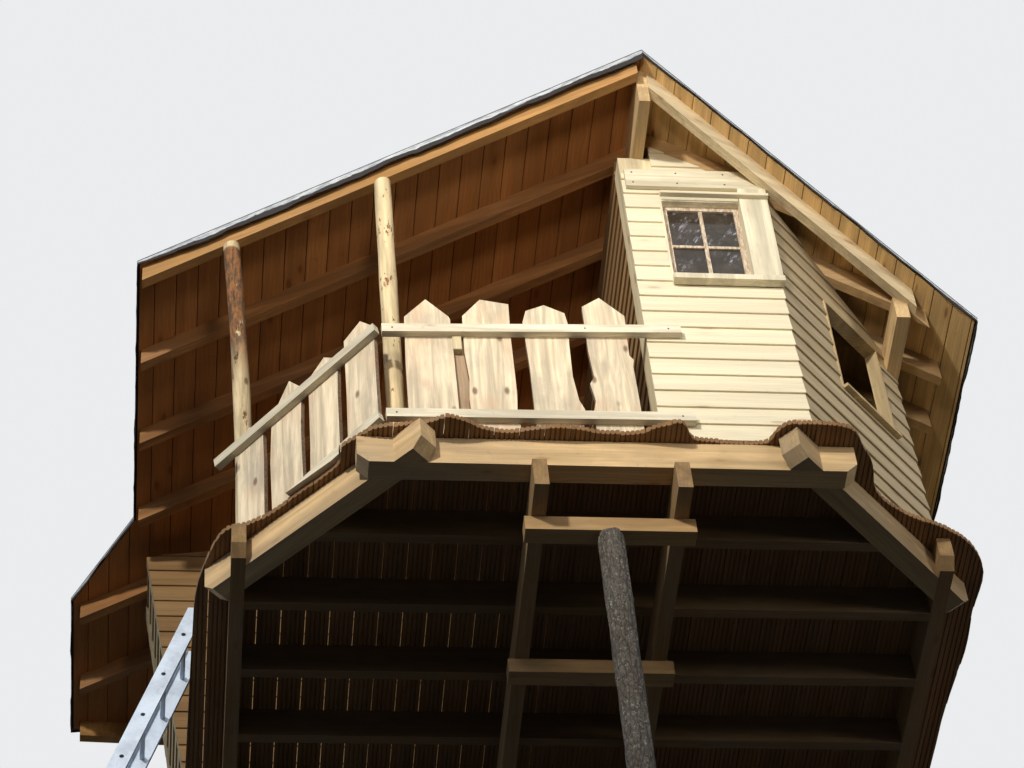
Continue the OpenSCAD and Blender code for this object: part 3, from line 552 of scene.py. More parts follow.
def grained(o, along, luck):
    """Gives a board its two layers: "grain" in metres along and across it, and "board", its luck."""
    mesh = o.data
    for layer in ("grain", "board"):
        if layer not in mesh.uv_layers:
            mesh.uv_layers.new(name=layer)
    along = Vector(along).normalized()
    side = along.cross(Vector((0, 0, 1)))
    side = side.normalized() if side.length > 0.3 else Vector((1, 0, 0))
    deep = along.cross(side)
    start_u, start_v = luck.uniform(-20, 20), luck.uniform(-20, 20)
    tone, other = luck.random(), luck.random()
    flat = []
    for loop in mesh.loops:
        p = mesh.vertices[loop.vertex_index].co
        flat += [p.dot(along) + start_u, p.dot(side) + p.dot(deep) + start_v]
    mesh.uv_layers["grain"].data.foreach_set("uv", flat)
    mesh.uv_layers["board"].data.foreach_set("uv", [tone, other] * len(mesh.loops))
    return o


def merged_copy(node):
    """A copy of a solid whose loose triangles are joined at their corners."""
    o = copied(CAD[node], name=node + "_copy")
    o.parent = None
    for key in [k for k in o.keys() if k.startswith("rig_")]:
        del o[key]
    edit(o)
    bpy.ops.mesh.remove_doubles(threshold=0.00002)
    bpy.ops.mesh.tris_convert_to_quads()
    close()
    return o


def trimmed(o, cutter, least=8):
    """Keeps what lies inside the cutter. A board of which next to nothing is left goes altogether."""
    only(o)
    m = o.modifiers.new("trim", "BOOLEAN")
    m.operation, m.object, m.solver = "INTERSECT", cutter, "EXACT"
    bpy.ops.object.modifier_apply(modifier=m.name)
    if len(o.data.vertices) >= least:
        return o
    removed(o)
    return None


def sliced(o, point, normal):
    """Cuts off what lies beyond a plane, on the side its normal shows, and closes the cut."""
    edit(o)
    bpy.ops.mesh.bisect(plane_co=point, plane_no=normal, use_fill=True, clear_outer=True, clear_inner=False)
    close()
    return o


def painted(o, *materials):
    o.data.materials.clear()
    for m in materials:
        o.data.materials.append(m)
    return o


def kept(o, slot, *nodes):
    """A finished new piece: rides on the house and stands for the nodes; slot is not used."""
    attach(o, "root")
    if nodes:
        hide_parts(*nodes)
    return o


def dress(material, *nodes):
    for n in nodes:
        painted(CAD[n], material)


def pick_faces(mesh_edit, test):
    """Selects just the faces that pass a test, in edit mode."""
    mesh_edit.select_mode = {"FACE"}
    for face in mesh_edit.faces:
        face.select_set(False)
    for face in mesh_edit.faces:
        if test(face):
            face.select_set(True)
    mesh_edit.select_flush_mode()


# ---------------------------------------------------------------- operators


LENS, SENSOR = 114.513, 36.0
EYE = Vector((-2.2765, -11.0943, -9.4839))
EYE_RIGHT = Vector((0.9944, -0.0835, -0.0655))
EYE_DOWN = Vector((0.0241, 0.7784, -0.6273))
EYE_AHEAD = Vector((0.1034, 0.6222, 0.7760))
DIM_FLOOR, PALE_FLOOR = (0.07, 0.068, 0.065), (0.84, 0.83, 0.81)


def seen_ray(tree):
    """1 for the rays that meet the eye straight, off metal or through glass, and 0 for lighting ones."""
    rays = tree.nodes.new("ShaderNodeLightPath")
    camera, glossy, through = [Flow(tree, rays.outputs["Is %s Ray" % way])
                               for way in ("Camera", "Glossy", "Transmission")]
    return (camera + glossy + through).capped()


class TREEHOUSE_OT_stage(bpy.types.Operator):
    """Camera below the front left corner, pale floor, soft lamps and a pale world"""

    bl_idname = "treehouse.stage"
    bl_label = "Stage"

    def execute(self, context):
        scene = context.scene
        eye = bpy.data.cameras.new("Camera")
        eye.lens, eye.sensor_width = LENS, SENSOR
        eye.clip_start, eye.clip_end = 0.5, 200.0
        camera = bpy.data.objects.new("Camera", eye)
        scene.collection.objects.link(camera)
        turn = Matrix((EYE_RIGHT, -EYE_DOWN, -EYE_AHEAD)).transposed().to_4x4()
        turn.translation = EYE
        camera.matrix_world = turn
        scene.camera = camera
        scene.view_settings.view_transform = "Standard"

        deselect()
        bpy.ops.mesh.primitive_plane_add(size=60, location=(0, 2, 0))
        floor = context.object
        floor.name = "floor"
        f = Finish("floor")
        # pale to the eye, with little bounce, so that the platform's underside stays in its own shadow
        top = f.node("ShaderNodeBsdfDiffuse", Color=f.mixed(seen_ray(f.tree), DIM_FLOOR, PALE_FLOOR))
        below = f.node("ShaderNodeBsdfTransparent")
        back = f.node("ShaderNodeNewGeometry", out="Backfacing")
        mix = f.tree.nodes.new("ShaderNodeMixShader")
        f.put(mix.inputs[0], back)
        f.tree.links.new(top.socket, mix.inputs[1])
        f.tree.links.new(below.socket, mix.inputs[2])
        f.tree.links.new(mix.outputs[0], f.output.inputs["Surface"])
        painted(floor, f.material)

        self.lamp("Key", place=(-7.6, -13.7, 8.0), aim=(0.1, 0.6, 5.0), size=1.2, power=250.0,
                  tint=(1.0, 0.955, 0.87), spread=60.0)
        self.lamp("Fill", place=(-0.9, -5.2, 3.95), aim=(0.0, 1.4, 6.9), size=1.0, power=24.0,
                  tint=(1.0, 0.86, 0.7), spread=90.0)
        self.lamp("Side", place=(9.0, -6.0, 3.6), aim=(0.5, 1.5, 5.6), size=4.0, power=32.0,
                  tint=(1.0, 0.93, 0.82), spread=50.0)

        world = bpy.data.worlds.new("World")
        scene.world = world
        world.use_nodes = True
        tree = world.node_tree
        sky = tree.nodes["Background"]
        sky.inputs["Color"].default_value = (0.80, 0.88, 1.0, 1)
        sky.inputs["Strength"].default_value = 0.4
        seen = tree.nodes.new("ShaderNodeBackground")
        seen.inputs["Color"].default_value = (0.83, 0.84, 0.85, 1)
        pick = tree.nodes.new("ShaderNodeMixShader")
        tree.links.new(seen_ray(tree).socket, pick.inputs[0])
        tree.links.new(sky.outputs[0], pick.inputs[1])
        tree.links.new(seen.outputs[0], pick.inputs[2])
        tree.links.new(pick.outputs[0], tree.nodes["World Output"].inputs["Surface"])
        return {"FINISHED"}

    def lamp(self, name, place, aim, size, power, tint, spread):
        data = bpy.data.lights.new(name, "AREA")
        data.shape, data.size, data.energy, data.color = "DISK", size, power, tint
        data.spread = math.radians(spread)
        o = bpy.data.objects.new(name, data)
        bpy.context.scene.collection.objects.link(o)
        o.location = place
        o.rotation_euler = (Vector(aim) - Vector(place)).to_track_quat("-Z", "Y").to_euler()


class TREEHOUSE_OT_beams(bpy.types.Operator):
    """Finishes of the ring, main beams, cross beams and joists, with painted sunlight and shade in their
    colours
    """

    bl_idname = "treehouse.beams"
    bl_label = "Beams"

    def execute(self, context):
        tan = colours().tan
        # The front and left-front ring beams take a paler copy of the beam colour as painted sunlight.
        lit = tinted(tan, 1.65, 1.85, 2.2)
        dress(finish("beam_x", timber, lit, grain=ALONG_X, weather=0.45), "front_ring_beam")
        dress(finish("beam_far_x", timber, tan, grain=ALONG_X, weather=0.35),
              "back_ring_beam", "cross_beams")
        # The joists' colour is darkened as painted shade.
        dress(finish("joist_x", timber, shade(tan, 0.42), grain=ALONG_X, weather=0.2), "floor_joists")
        # The main beams' and side ring beams' colour is darkened as painted shade.
        dress(finish("beam_y", timber, shade(tan, 0.72), grain=ALONG_Y, weather=0.35),
              "main_beams", "left_ring_beam", "right_ring_beam")
        # The right-front ring beam takes a darker copy of it as painted shade.
        dress(finish("beam_right", timber, shade(lit, 0.6), grain=along_plan(45), weather=0.45),
              "right_front_ring_beam")
        dress(finish("beam_left", timber, lit, grain=along_plan(-45), weather=0.45), "left_front_ring_beam")
        dress(finish("beam_back", timber, tan, grain=along_plan(45), weather=0.35), "back_corner_ring_beams")
        return {"FINISHED"}


class TREEHOUSE_OT_prop_log(bpy.types.Operator):
    """Prop log with lumpy grey bark"""

    bl_idname = "treehouse.prop_log"
    bl_label = "Prop log"

    def execute(self, context):
        low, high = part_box("prop_log")
        lumps_room = 0.006
        radius = (high.x - low.x) / 2 - lumps_room
        deselect()
        bpy.ops.mesh.primitive_cylinder_add(vertices=72, radius=radius, depth=high.z,
                                            location=(0, 0, high.z / 2), end_fill_type="NGON")
        o = context.object
        o.name = "bark_log"
        bpy.ops.object.transform_apply(location=True)
        bpy.ops.object.mode_set(mode="EDIT")
        mesh = bmesh.from_edit_mesh(o.data)
        upright = [e for e in mesh.edges if abs(e.verts[0].co.z - e.verts[1].co.z) > 1]
        bmesh.ops.subdivide_edges(mesh, edges=upright, cuts=190, use_grid_fill=True)
        for v in mesh.verts:
            turn = math.atan2(v.co.y, v.co.x)
            p = Vector((math.cos(turn) * 1.6, math.sin(turn) * 1.6, v.co.z * 1.7))
            lump = noise.noise(p * 2.0) * 0.007
            plates = noise.noise(Vector((math.cos(turn) * 9, math.sin(turn) * 9, v.co.z * 11))) * 0.0035
            if abs(v.co.x) + abs(v.co.y) > 0.01:
                out = Vector((v.co.x, v.co.y, 0)).normalized()
                v.co += out * (lump + plates)
        bmesh.update_edit_mesh(o.data)
        close()
        bpy.ops.object.shade_smooth_by_angle(angle=math.radians(50))
        painted(o, finish("log_bark", bark))
        kept(o, "weathered_log", "prop_log")
        return {"FINISHED"}


class TREEHOUSE_OT_log_posts(bpy.types.Operator):
    """Finishes of the two log posts and the square post"""

    bl_idname = "treehouse.log_posts"
    bl_label = "Log posts"

    def execute(self, context):
        dress(finish("peeled_pale", peeled, colours().log), "corner_log_post")
        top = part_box("left_log_post")[1].z
        dress(finish("peeled_dark", peeled, shade(colours().log, 0.85), bark_from=5.25, cut_at=top - 0.05),
              "left_log_post")
        dress(finish("post_z", timber, colours().cream, grain=ALONG_Z, knots=0.8), "ridge_post")
        return {"FINISHED"}


class TREEHOUSE_OT_decking(bpy.types.Operator):
    """Grooved deck boards from front to back, cut to the platform's wavy outline"""

    bl_idname = "treehouse.decking"
    bl_label = "Decking"

    def execute(self, context):
        s = sizes()
        luck = random.Random(s.seed)
        low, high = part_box("deck")
        width = s.deck_pitch - s.deck_gap
        board = block("deck_board", (-width / 2, low.y - 0.05, low.z + 0.0002),
                      (width / 2, high.y + 0.05, high.z - 0.0002), ease=0.002)
        self.groove(board, width)
        outline = merged_copy("deck")
        boards = []
        x = low.x + width / 2 - 0.004
        while x - width / 2 < high.x:
            one = trimmed(copied(board, Matrix.Translation((x, 0, 0))), outline)
            if one:
                self.roughen(one, luck)
                boards.append(grained(one, (0, 1, 0), luck))
            x += s.deck_pitch
        removed(outline)
        removed(board)
        deck = joined("deck_boards", boards)
        brown = colours().orange
        # The deck boards' colour is darkened as painted shade.
        painted(deck, finish("decking", timber, tinted(brown, 0.5, 0.62, 0.8), weather=0.25,
                             knots=0.7, tone=0.35))
        kept(deck, "decking", "deck")
        return {"FINISHED"}

    def groove(self, board, width):
        """Narrow grooves along both faces, sunk in edit mode."""
        edit(board)
        ridges, half, deep = 5, 0.0045, 0.008
        middles = [-width / 2 + width / ridges * i for i in range(1, ridges)]
        for x in [middle + side for middle in middles for side in (-half, half)]:
            bpy.ops.mesh.select_all(action="SELECT")
            bpy.ops.mesh.bisect(plane_co=(x, 0, 0), plane_no=(1, 0, 0))
        mesh = bmesh.from_edit_mesh(board.data)
        for sign in (-1, 1):
            pick_faces(mesh, lambda f: f.normal.z * sign > 0.9 and any(
                abs(f.calc_center_median().x - middle) < 0.001 for middle in middles))
            bpy.ops.mesh.extrude_region_move(TRANSFORM_OT_translate={"value": (0, 0, -deep * sign)})
            mesh = bmesh.from_edit_mesh(board.data)
        close()

    def roughen(self, board, luck):
        """Each board's two ends are cut a little off the line."""
        middle = sum(v.co.y for v in board.data.vertices) / len(board.data.vertices)
        front, back = luck.uniform(-0.006, 0.005), luck.uniform(-0.006, 0.005)
        for v in board.data.vertices:
            v.co.y += front if v.co.y < middle else back


class TREEHOUSE_OT_railing(bpy.types.Operator):
    """Finishes of the rails and slab boards, and the batten and cleat between two slab boards"""

    bl_idname = "treehouse.railing"
    bl_label = "Railing"

    def execute(self, context):
        cream = colours().cream
        # The front rails take a paler copy of cream as painted sunlight, and the left rails a darker copy of
        # that as painted shade.
        pale = tinted(cream, 1.08, 1.16, 1.4)
        dress(finish("rail_x", timber, pale, grain=ALONG_X, knots=0.4, weather=0.12), "front_rails")
        dress(finish("rail_left", timber, shade(pale, 0.85), grain=along_plan(-45), knots=0.4, weather=0.3),
              "left_rails")
        dress(finish("slabs", self.slab_wood, colours().slab), "front_slab_boards", "left_slab_boards")
        luck = random.Random(sizes().seed + 1)
        batten = block("batten", (-0.80, FRONT_Y + 0.0285, DECK_Z), (-0.69, FRONT_Y + 0.046, 4.49),
                       ease=0.002)
        cleat = block("cleat", (-0.775, FRONT_Y - 0.012, 4.345), (-0.725, FRONT_Y + 0.0280, 4.47), ease=0.003)
        reddish = finish("batten", timber, tinted(cream, 0.6, 0.5, 0.5), knots=0.2)
        pale_end = finish("cleat", timber, shade(cream, 0.95), knots=0.1)
        for piece, wood in ((batten, reddish), (cleat, pale_end)):
            kept(painted(grained(piece, (0, 0, 1), luck), wood), "rail_timber")
        return {"FINISHED"}

    @staticmethod
    def slab_wood(name, base):
        """Waney slab: pale face with pink and grey blotches, partly stains and partly painted dappled shadow
        of twigs, arched grain, bark left on its edges.
        """
        f = Finish(name)
        at = f.place()
        nx, ny, nz = f.facing()
        streak = f.cloud(f.stretched(at, (22.0, 22.0, 1.5)), 1.0, 5.0, 0.6, 0.8)
        arch = f.node("ShaderNodeTexWave", {"wave_type": "BANDS", "bands_direction": "X"},
                      Vector=f.stretched(at, (1.0, 1.0, 0.25)), Scale=9.0, Distortion=7.0, Detail=2.0)
        fibre = f.cloud(f.stretched(at, (150.0, 150.0, 5.0)), 1.0, 3.0, 0.6)
        grey_stain_and_shadow = f.cloud(f.stretched(at, (4.0, 4.0, 2.4)), 1.0, 4.0, 0.6)
        pink_stain_and_shadow = f.cloud(f.stretched(at, (5.0, 5.0, 2.0), (3.1, 0.0, 7.7)), 1.0, 3.0, 0.5)
        knot = f.cells(f.stretched(at, (7.0, 7.0, 3.2)), 1.0).rise(0.15, 0.05)
        lit = f.mixed(streak.rise(0.3, 0.7), shade(base, 1.3), shade(base, 0.72))
        lit = f.mixed(arch * 0.25, lit, shade(base, 0.6))
        # Pink and grey blotches: partly stains, partly painted dappled shadow of twigs.
        lit = f.mixed(pink_stain_and_shadow.rise(0.5, 0.7) * 0.5, lit, tinted(base, 0.88, 0.66, 0.6))
        lit = f.mixed(grey_stain_and_shadow.rise(0.48, 0.72) * 0.5, lit, (0.36, 0.33, 0.27))
        lit = f.mixed((1.0 - fibre.rise(0.25, 0.6)) * 0.25, lit, shade(base, 0.5))
        lit = f.mixed(knot * 0.8, lit, (0.13, 0.06, 0.03))
        front = ny.size().rise(0.97, 0.99)
        slanted = (nx + ny).size().rise(1.40, 1.412)
        edge = (1.0 - (front + slanted).capped()) * nz.size().rise(0.75, 0.6)
        rind = f.cloud(at, 60.0, 5.0, 0.7)
        lit = f.mixed(edge * 0.85, lit, f.mixed(rind.rise(0.4, 0.6), (0.10, 0.055, 0.03), (0.24, 0.16, 0.10)))
        return f.done(Base_Color=lit, Roughness=(0.74 + streak * 0.15).capped(),
                      Normal=f.bump(fibre * 0.5 + streak * 0.6 + edge * rind, 0.7, 0.0014),
                      Specular_IOR_Level=0.3)


class TREEHOUSE_OT_roof_frame(bpy.types.Operator):
    """Finishes of the rafters, ridge beam and wall plate"""

    bl_idname = "treehouse.roof_frame"
    bl_label = "Roof frame"

    def execute(self, context):
        orange = colours().orange
        wood = tinted(orange, 0.86, 0.94, 1.05)
        dress(finish("rafter_left", timber, wood, grain=ALONG_LEFT_VERGE, weather=0.15, dark=0.5),
              "left_rafters")
        cream = colours().cream
        dress(finish("rafter_right", timber, tinted(cream, 0.72, 0.56, 0.42), grain=ALONG_X,
                     weather=0.12), "right_rafters")
        # The verge rafters are one solid split by side: the left ones take a darker orange copy as painted
        # shade, the right ones a pale copy as painted sunlight.
        brown_verge = finish("verge_left", timber, tinted(orange, 1.1, 1.35, 1.5), grain=ALONG_LEFT_VERGE,
                             weather=0.1)
        pale_verge = finish("verge_right", timber, tinted(cream, 1.0, 0.96, 0.95), grain=ALONG_RIGHT_VERGE,
                            weather=0.12, dirt=0.1)
        verges = painted(CAD["verge_rafters"], brown_verge, pale_verge)
        for face in verges.data.polygons:
            face.material_index = 1 if face.center.x > RIDGE_X else 0
        dress(finish("ridge", timber, tinted(cream, 0.92, 0.76, 0.6), grain=ALONG_Y,
                     weather=0.15), "ridge_beam", "right_wall_plate")
        return {"FINISHED"}


class TREEHOUSE_OT_roof_boards(bpy.types.Operator):
    """Roof boards from front to back on both slopes, with open joints on the underside"""

    bl_idname = "treehouse.roof_boards"
    bl_label = "Roof boards"

    def execute(self, context):
        orange = colours().orange
        wood = finish("roof_boards", timber, orange, weather=0.12, knots=0.9, tone=0.45, rough=0.7,
                      grey=(0.12, 0.07, 0.04))
        # The right slope's boards take a much paler copy of the board colour as painted light, for the lit
        # right soffit.
        painted_sunlit_boards = finish("roof_boards_right", timber, tinted(orange, 1.5, 2.35, 3.4),
                       weather=0.08, knots=0.9, tone=0.25, rough=0.7)
        self.slope("left_sheathing", -1, LEFT_PITCH, FLARE_X, wood)
        self.slope("right_sheathing", 1, RIGHT_PITCH, RIGHT_EAVE_X, painted_sunlit_boards)
        return {"FINISHED"}

    def slope(self, node, side, pitch, eave_x, wood):
        s = sizes()
        luck = random.Random(s.seed + 2 + side)
        run = abs(eave_x - RIDGE_X) / math.cos(pitch)
        width = s.roof_pitch - 0.0035
        down = Vector((side * math.cos(pitch), 0, -math.sin(pitch)))
        up = Vector((side * math.sin(pitch), 0, math.cos(pitch)))
        # the board is drawn lying flat, its top in the plane of the roof's upper face
        board = block(node + "_board", (0.0, TIP_Y - 0.1, -FELT_T - BOARD_T + 0.0002),
                      (width, TAIL_Y + 0.1, -FELT_T - 0.0002), ease=0.0035)
        turn = Matrix((down, Vector((0, 1, 0)), up)).transposed().to_4x4()
        turn.translation = Vector((RIDGE_X, 0, RIDGE_Z))
        shape = merged_copy(node)
        boards = []
        reach = 0.0005
        while reach < run + 0.1:
            one = copied(board, turn @ Matrix.Translation((reach, 0, 0)))
            if side < 0:
                one.data.flip_normals()
            if trimmed(one, shape):
                boards.append(grained(one, (0, 1, 0), luck))
            reach += s.roof_pitch
        removed(shape)
        removed(board)
        cover = joined(node.replace("sheathing", "roof_boards"), boards)
        painted(cover, wood)
        kept(cover, "roof_boards", node)


class TREEHOUSE_OT_roof_felt(bpy.types.Operator):
    """Felt finish, and its wavy edge turned down round the roof"""

    bl_idname = "treehouse.roof_felt"
    bl_label = "Roof felt"

    def execute(self, context):
        dress(finish("felt", felt_top), "left_roof_felt", "right_roof_felt")

        def left(x, y):
            return Vector((x, y, RIDGE_Z - (RIDGE_X - x) * math.tan(LEFT_PITCH)))

        def right(x, y):
            return Vector((x, y, RIDGE_Z - (x - RIDGE_X) * math.tan(RIGHT_PITCH)))

        left_x, flare, right_x = LEFT_EAVE_X - LIP, FLARE_X - LIP, RIGHT_EAVE_X + LIP
        reach = RIDGE_X - left_x
        left_line = [
            left(RIDGE_X, TIP_Y - LIP), left(left_x, TIP_Y - LIP + LEFT_SKEW * reach), left(left_x, FLARE_Y),
            left(flare, FLARE_Y + 0.65), left(flare, TAIL_Y + LIP - BACK_SKEW * (RIDGE_X - FLARE_X)),
            left(RIDGE_X, TAIL_Y + LIP),
        ]
        reach = right_x - RIDGE_X
        right_line = [
            right(RIDGE_X, TIP_Y - LIP), right(right_x, TIP_Y - LIP + RIGHT_SKEW * reach),
            right(right_x, TAIL_Y + LIP - BACK_SKEW * (RIGHT_EAVE_X - RIDGE_X)), right(RIDGE_X, TAIL_Y + LIP),
        ]
        edge = finish("felt_edge", felt_edge)
        # The left strip hangs deep along the front verge, so that its dark lower band stands in as painted
        # shade for the shaded underside of the boards' overhang.
        for name, line, inward, drop in (("left_felt_edge", left_line, 1, 0.078),
                                         ("right_felt_edge", right_line, -1, 0.034)):
            kept(painted(self.ribbon(name, line, inward, drop), edge), "roof_felt")
        return {"FINISHED"}

    def ribbon(self, name, line, turn, drop):
        """A strip that hangs from the felt's edge, waved along its length and thickened.
        It drops that far along the front verge, and a plain drop along the eave and the back."""
        plain_drop, thickness, fade = 0.036, 0.003, 0.3
        spots = []
        for a, b in zip(line, line[1:]):
            steps = max(2, int((b - a).length / 0.025))
            spots += [a.lerp(b, i / steps) for i in range(steps)]
        spots.append(line[-1])
        deselect()
        rows = 4
        bpy.ops.mesh.primitive_grid_add(x_subdivisions=len(spots) - 1, y_subdivisions=rows, size=2)
        o = bpy.context.object
        o.name = name
        mesh = o.data
        layer = mesh.uv_layers.new(name="grain")
        count = len(spots)
        lengths = [0.0]
        verge = (line[1] - line[0]).length
        for a, b in zip(spots, spots[1:]):
            lengths.append(lengths[-1] + (b - a).length)
        order = {}
        for v in mesh.vertices:
            i = round((v.co.x + 1) / 2 * (count - 1))
            j = round((v.co.y + 1) / 2 * rows)
            order[v.index] = (i, j)
        for v in mesh.vertices:
            i, j = order[v.index]
            t = 1 - j / rows
            ahead = (spots[min(i + 1, count - 1)] - spots[max(i - 1, 0)]).normalized()
            out = ahead.cross(Vector((0, 0, 1))).normalized() * -turn
            d = lengths[i]
            deep = plain_drop + (drop - plain_drop) * min(1.0, max(0.0, (verge - d) / fade))
            deep += 0.020 * noise.noise(Vector((d * 3.5, 3.1, 0)))
            deep += 0.010 * noise.noise(Vector((d * 13, 1, 0)))
            sway = 0.010 * noise.noise(Vector((d * 5.0, 9.4, t)))
            sway += 0.004 * noise.noise(Vector((d * 17, 2.4, t * 2)))
            v.co = spots[i] - out * thickness + out * sway * t - Vector((0, 0, FELT_T * 0.4 + deep * t))
        for loop in mesh.loops:
            i, j = order[loop.vertex_index]
            layer.data[loop.index].uv = (lengths[i], j / rows)
        only(o)
        m = o.modifiers.new("thick", "SOLIDIFY")
        m.thickness, m.offset = thickness, 0
        bpy.ops.object.modifier_apply(modifier=m.name)
        edit(o)
        bpy.ops.mesh.normals_make_consistent(inside=False)
        close()
        bpy.ops.object.shade_smooth_by_angle(angle=math.radians(40))
        return o


class TREEHOUSE_OT_siding(bpy.types.Operator):
    """Lapped siding boards on every wall, cut to its openings and slopes, over a plain core"""

    bl_idname = "treehouse.siding"
    bl_label = "Siding"

    def execute(self, context):
        cream = colours().cream
        # The front wall's siding finish is a paler, less yellow copy of cream: painted sunlight.
        painted_sunlit_siding = finish("siding", timber, tinted(cream, 1.07, 1.13, 1.28), knots=0.4,
                       weather=0.08, tone=0.12, pale=1.06, dark=0.86, dirt=0.08)
        # The side and back walls' siding finish is a darker copy of cream: painted shade.
        brown = tinted(cream, 0.62, 0.58, 0.55)
        shaded = finish("siding_side", timber, brown, knots=0.6, weather=0.3, tone=0.3, dark=0.7)
        # The rear room's front wall and the deck wall take a much darker copy of cream: painted shade.
        deep_painted_shade = finish("siding_sheltered", timber, tinted(cream, 0.4, 0.28, 0.18),
                           knots=0.5, weather=0.15)
        inner = finish("inner_boards", timber, shade(cream, 0.55), grain=ALONG_X, weather=0.1)

        def at(x, y):
            return Vector((x, y, DECK_Z))

        c = [at(x, y) for x, y in CORNERS]
        self.clad("front_wall", at(POST_X, FRONT_Y), c[1], painted_sunlit_siding, inner)
        self.clad("right_front_wall", c[1], c[2], shaded, inner)
        self.clad("right_wall", c[2], c[3], shaded, inner)
        self.clad("back_right_wall", c[3], c[4], shaded, inner)
        self.clad("back_wall", c[4], c[5], shaded, inner)
        aim = (c[6] - c[5]).normalized()
        self.clad("back_left_wall", c[5], c[5] + aim * 2.4, shaded, inner)
        self.clad("rear_left_wall", at(LEAN_X, 4.2), at(LEAN_X, 2.8), shaded, inner, lean=LEAN)
        self.clad("rear_front_wall", at(-2.55, REAR_ROOM_Y), at(POST_X, REAR_ROOM_Y), deep_painted_shade, inner)
        for node in ("deck_wall", "deck_wall_lintel"):
            self.clad(node, at(POST_X, 2.9), at(POST_X, -0.1), deep_painted_shade, inner)
        return {"FINISHED"}

    def clad(self, node, start, end, boards_finish, core_finish, lean=0.0):
        """Boards on the face from start to end, whose inside is on the left of that line."""
        s = sizes()
        luck = random.Random(s.seed + len(node))
        low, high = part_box(node)
        along = (end - start).normalized()
        up = Vector((0, 0, 1))
        inward = up.cross(along)
        if lean:
            up = (up * math.cos(lean) - inward * math.sin(lean)).normalized()
            inward = up.cross(along)
        length = (end - start).length
        cover, thick = s.siding_cover, s.siding_t
        gap, taper = 0.0002, 0.012
        board = block(node + "_board", (-0.05, 0.0, 2 * gap), (length + 0.05, thick - gap, cover - 2 * gap))
        only(board)
        bpy.ops.object.mode_set(mode="EDIT")
        mesh = bmesh.from_edit_mesh(board.data)
        for v in mesh.verts:
            v.select_set(v.co.y < 0.001 and v.co.z > cover / 2)
        mesh.select_flush_mode()
        bpy.ops.transform.translate(value=(0, taper, 0))
        mesh = bmesh.from_edit_mesh(board.data)
        for e in mesh.edges:
            e.select_set(all(v.co.y < 0.001 and v.co.z < 0.01 for v in e.verts))
        bpy.ops.mesh.bevel(offset=0.0025, segments=2, affect="EDGES")
        close()
        turn = Matrix((along, inward, up)).transposed().to_4x4()
        turn.translation = start
        wall = merged_copy(node)
        boards = []
        rows = math.ceil((high.z - DECK_Z) / cover / math.cos(lean)) + 1
        for i in range(rows):
            if DECK_Z + (i + 1) * cover < low.z:
                continue
            one = copied(board, turn @ Matrix.Translation((0, gap, i * cover)))
            if trimmed(one, wall, least=6):
                boards.append(grained(one, along, luck))
        removed(board)
        siding = joined(node + "_siding", boards)
        painted(siding, boards_finish)
        kept(siding, "siding", node)
        sliced(wall, start + inward * (thick + gap), -inward)
        if len(wall.data.polygons) > 3:
            wall.name = node + "_core"
            painted(wall, core_finish)
            kept(wall, "siding", node)
        else:
            removed(wall)


class TREEHOUSE_OT_trim(bpy.types.Operator):
    """Finishes of the frieze, casing, sash, glass and hatch lining, and the strip over the sash"""

    bl_idname = "treehouse.trim"
    bl_label = "Trim and window"

    def execute(self, context):
        cream = colours().cream
        pale = tinted(cream, 1.08, 1.16, 1.35)
        dress(finish("frieze", timber, pale, grain=ALONG_X, knots=0.4, weather=0.08, dirt=0.1),
              "frieze_board")
        dress(finish("casing", timber, pale, grain=ALONG_Z, knots=0.5, weather=0.1, dirt=0.1),
              "window_casing")
        low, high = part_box("window_casing")
        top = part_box("window_sash")[1].z + 0.012
        head = block("window_head", (low.x, low.y - 0.006, top), (high.x + 0.004, low.y + 0.03, top + 0.022),
                     ease=0.003)
        # The strip takes the front siding's finish, with its painted sunlight.
        painted(grained(head, (1, 0, 0), random.Random(sizes().seed + 3)), finish("siding", timber, cream))
        kept(head, "trim")
        dress(finish("sash", old_paint), "window_sash")
        dress(finish("pane", dusty_glass), "window_glass")
        dress(finish("lining", timber, tinted(cream, 0.75, 0.66, 0.55), grain=ALONG_Z,
                     knots=0.3, weather=0.1), "hatch_lining")
        return {"FINISHED"}


class TREEHOUSE_OT_ladder(bpy.types.Operator):
    """Finish of the ladder's stiles and rungs"""

    bl_idname = "treehouse.ladder"
    bl_label = "Ladder"

    def execute(self, context):
        lean = (0.0, -LADDER_LEAN, 0.0)
        dress(finish("ladder", aluminium, colours().metal, along=lean), "ladder_stiles")
        dress(finish("rungs", aluminium, shade(colours().metal, 0.7), along=lean), "ladder_rungs")
        return {"FINISHED"}


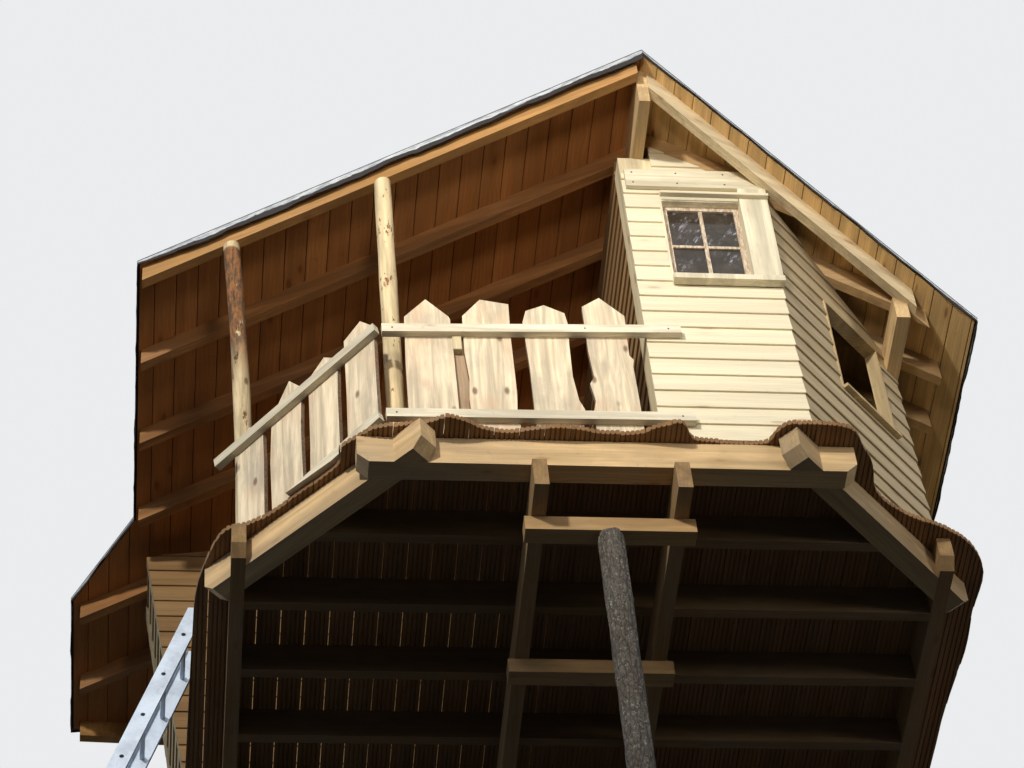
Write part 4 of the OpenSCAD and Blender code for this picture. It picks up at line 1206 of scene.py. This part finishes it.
class TREEHOUSE_OT_nails(bpy.types.Operator):
    """Nail heads on the front rails and the frieze"""

    bl_idname = "treehouse.nails"
    bl_label = "Nails"

    def execute(self, context):
        r = sizes().nail_r
        deselect()
        bpy.ops.mesh.primitive_uv_sphere_add(segments=12, ring_count=6, radius=r)
        head = context.object
        head.data.transform(Matrix.Diagonal((1, 1, 0.45, 1)))
        rails_start, rail_face, frieze_face = -FRONT_HALF - 0.03, FRONT_Y - 0.042, FRONT_Y - 0.025
        spots = []
        # both rails rise a little towards the right
        for height, slope, reaches in ((0.846, 1.9, (0.058, 1.116, 1.58)), (0.12, 0.8, (0.056, 1.58))):
            rise = math.tan(math.radians(slope))
            spots += [(rails_start + reach, rail_face, DECK_Z + height + rise * reach) for reach in reaches]
        spots += [(x, frieze_face, z) for x in (0.36, 0.62, 0.9, 1.12) for z in (5.945, 6.045)]
        facing_out = Vector((0, -1, 0)).to_track_quat("Z", "Y").to_matrix().to_4x4()
        heads = [copied(head, Matrix.Translation(spot) @ facing_out) for spot in spots]
        removed(head)
        nails = joined("nails", heads)
        bpy.ops.object.shade_smooth()
        painted(nails, finish("iron", iron))
        kept(nails, "ladder_metal")
        return {"FINISHED"}


class TREEHOUSE_PT_panel(bpy.types.Panel):
    """Sizes, colours and the steps that dress the tree house"""

    bl_label = "Tree house"
    bl_idname = "TREEHOUSE_PT_panel"
    bl_space_type = "VIEW_3D"
    bl_region_type = "UI"
    bl_category = "Tree house"

    def draw(self, context):
        for group in (context.scene.tree_house_sizes, context.scene.tree_house_colours):
            for key in group.bl_rna.properties.keys():
                if key not in ("rna_type", "name"):
                    self.layout.prop(group, key)
        for step in STEPS:
            self.layout.operator(step.bl_idname)


STEPS = (
    TREEHOUSE_OT_stage,
    TREEHOUSE_OT_beams,
    TREEHOUSE_OT_prop_log,
    TREEHOUSE_OT_log_posts,
    TREEHOUSE_OT_decking,
    TREEHOUSE_OT_railing,
    TREEHOUSE_OT_roof_frame,
    TREEHOUSE_OT_roof_boards,
    TREEHOUSE_OT_roof_felt,
    TREEHOUSE_OT_siding,
    TREEHOUSE_OT_trim,
    TREEHOUSE_OT_ladder,
    TREEHOUSE_OT_nails,
)
CLASSES = (TreeHouseSizes, TreeHouseColours, *STEPS, TREEHOUSE_PT_panel)


def register():
    for c in CLASSES:
        bpy.utils.register_class(c)
    bpy.types.Scene.tree_house_sizes = PointerProperty(type=TreeHouseSizes)
    bpy.types.Scene.tree_house_colours = PointerProperty(type=TreeHouseColours)


def unregister():
    del bpy.types.Scene.tree_house_sizes
    del bpy.types.Scene.tree_house_colours
    for c in reversed(CLASSES):
        bpy.utils.unregister_class(c)


def main():
    register()
    bpy.ops.treehouse.stage()
    bpy.ops.treehouse.beams()
    bpy.ops.treehouse.prop_log()
    bpy.ops.treehouse.log_posts()
    bpy.ops.treehouse.decking()
    bpy.ops.treehouse.railing()
    bpy.ops.treehouse.roof_frame()
    bpy.ops.treehouse.roof_boards()
    bpy.ops.treehouse.roof_felt()
    bpy.ops.treehouse.siding()
    bpy.ops.treehouse.trim()
    bpy.ops.treehouse.ladder()
    bpy.ops.treehouse.nails()
    deselect()


if __name__ == "__main__":
    main()
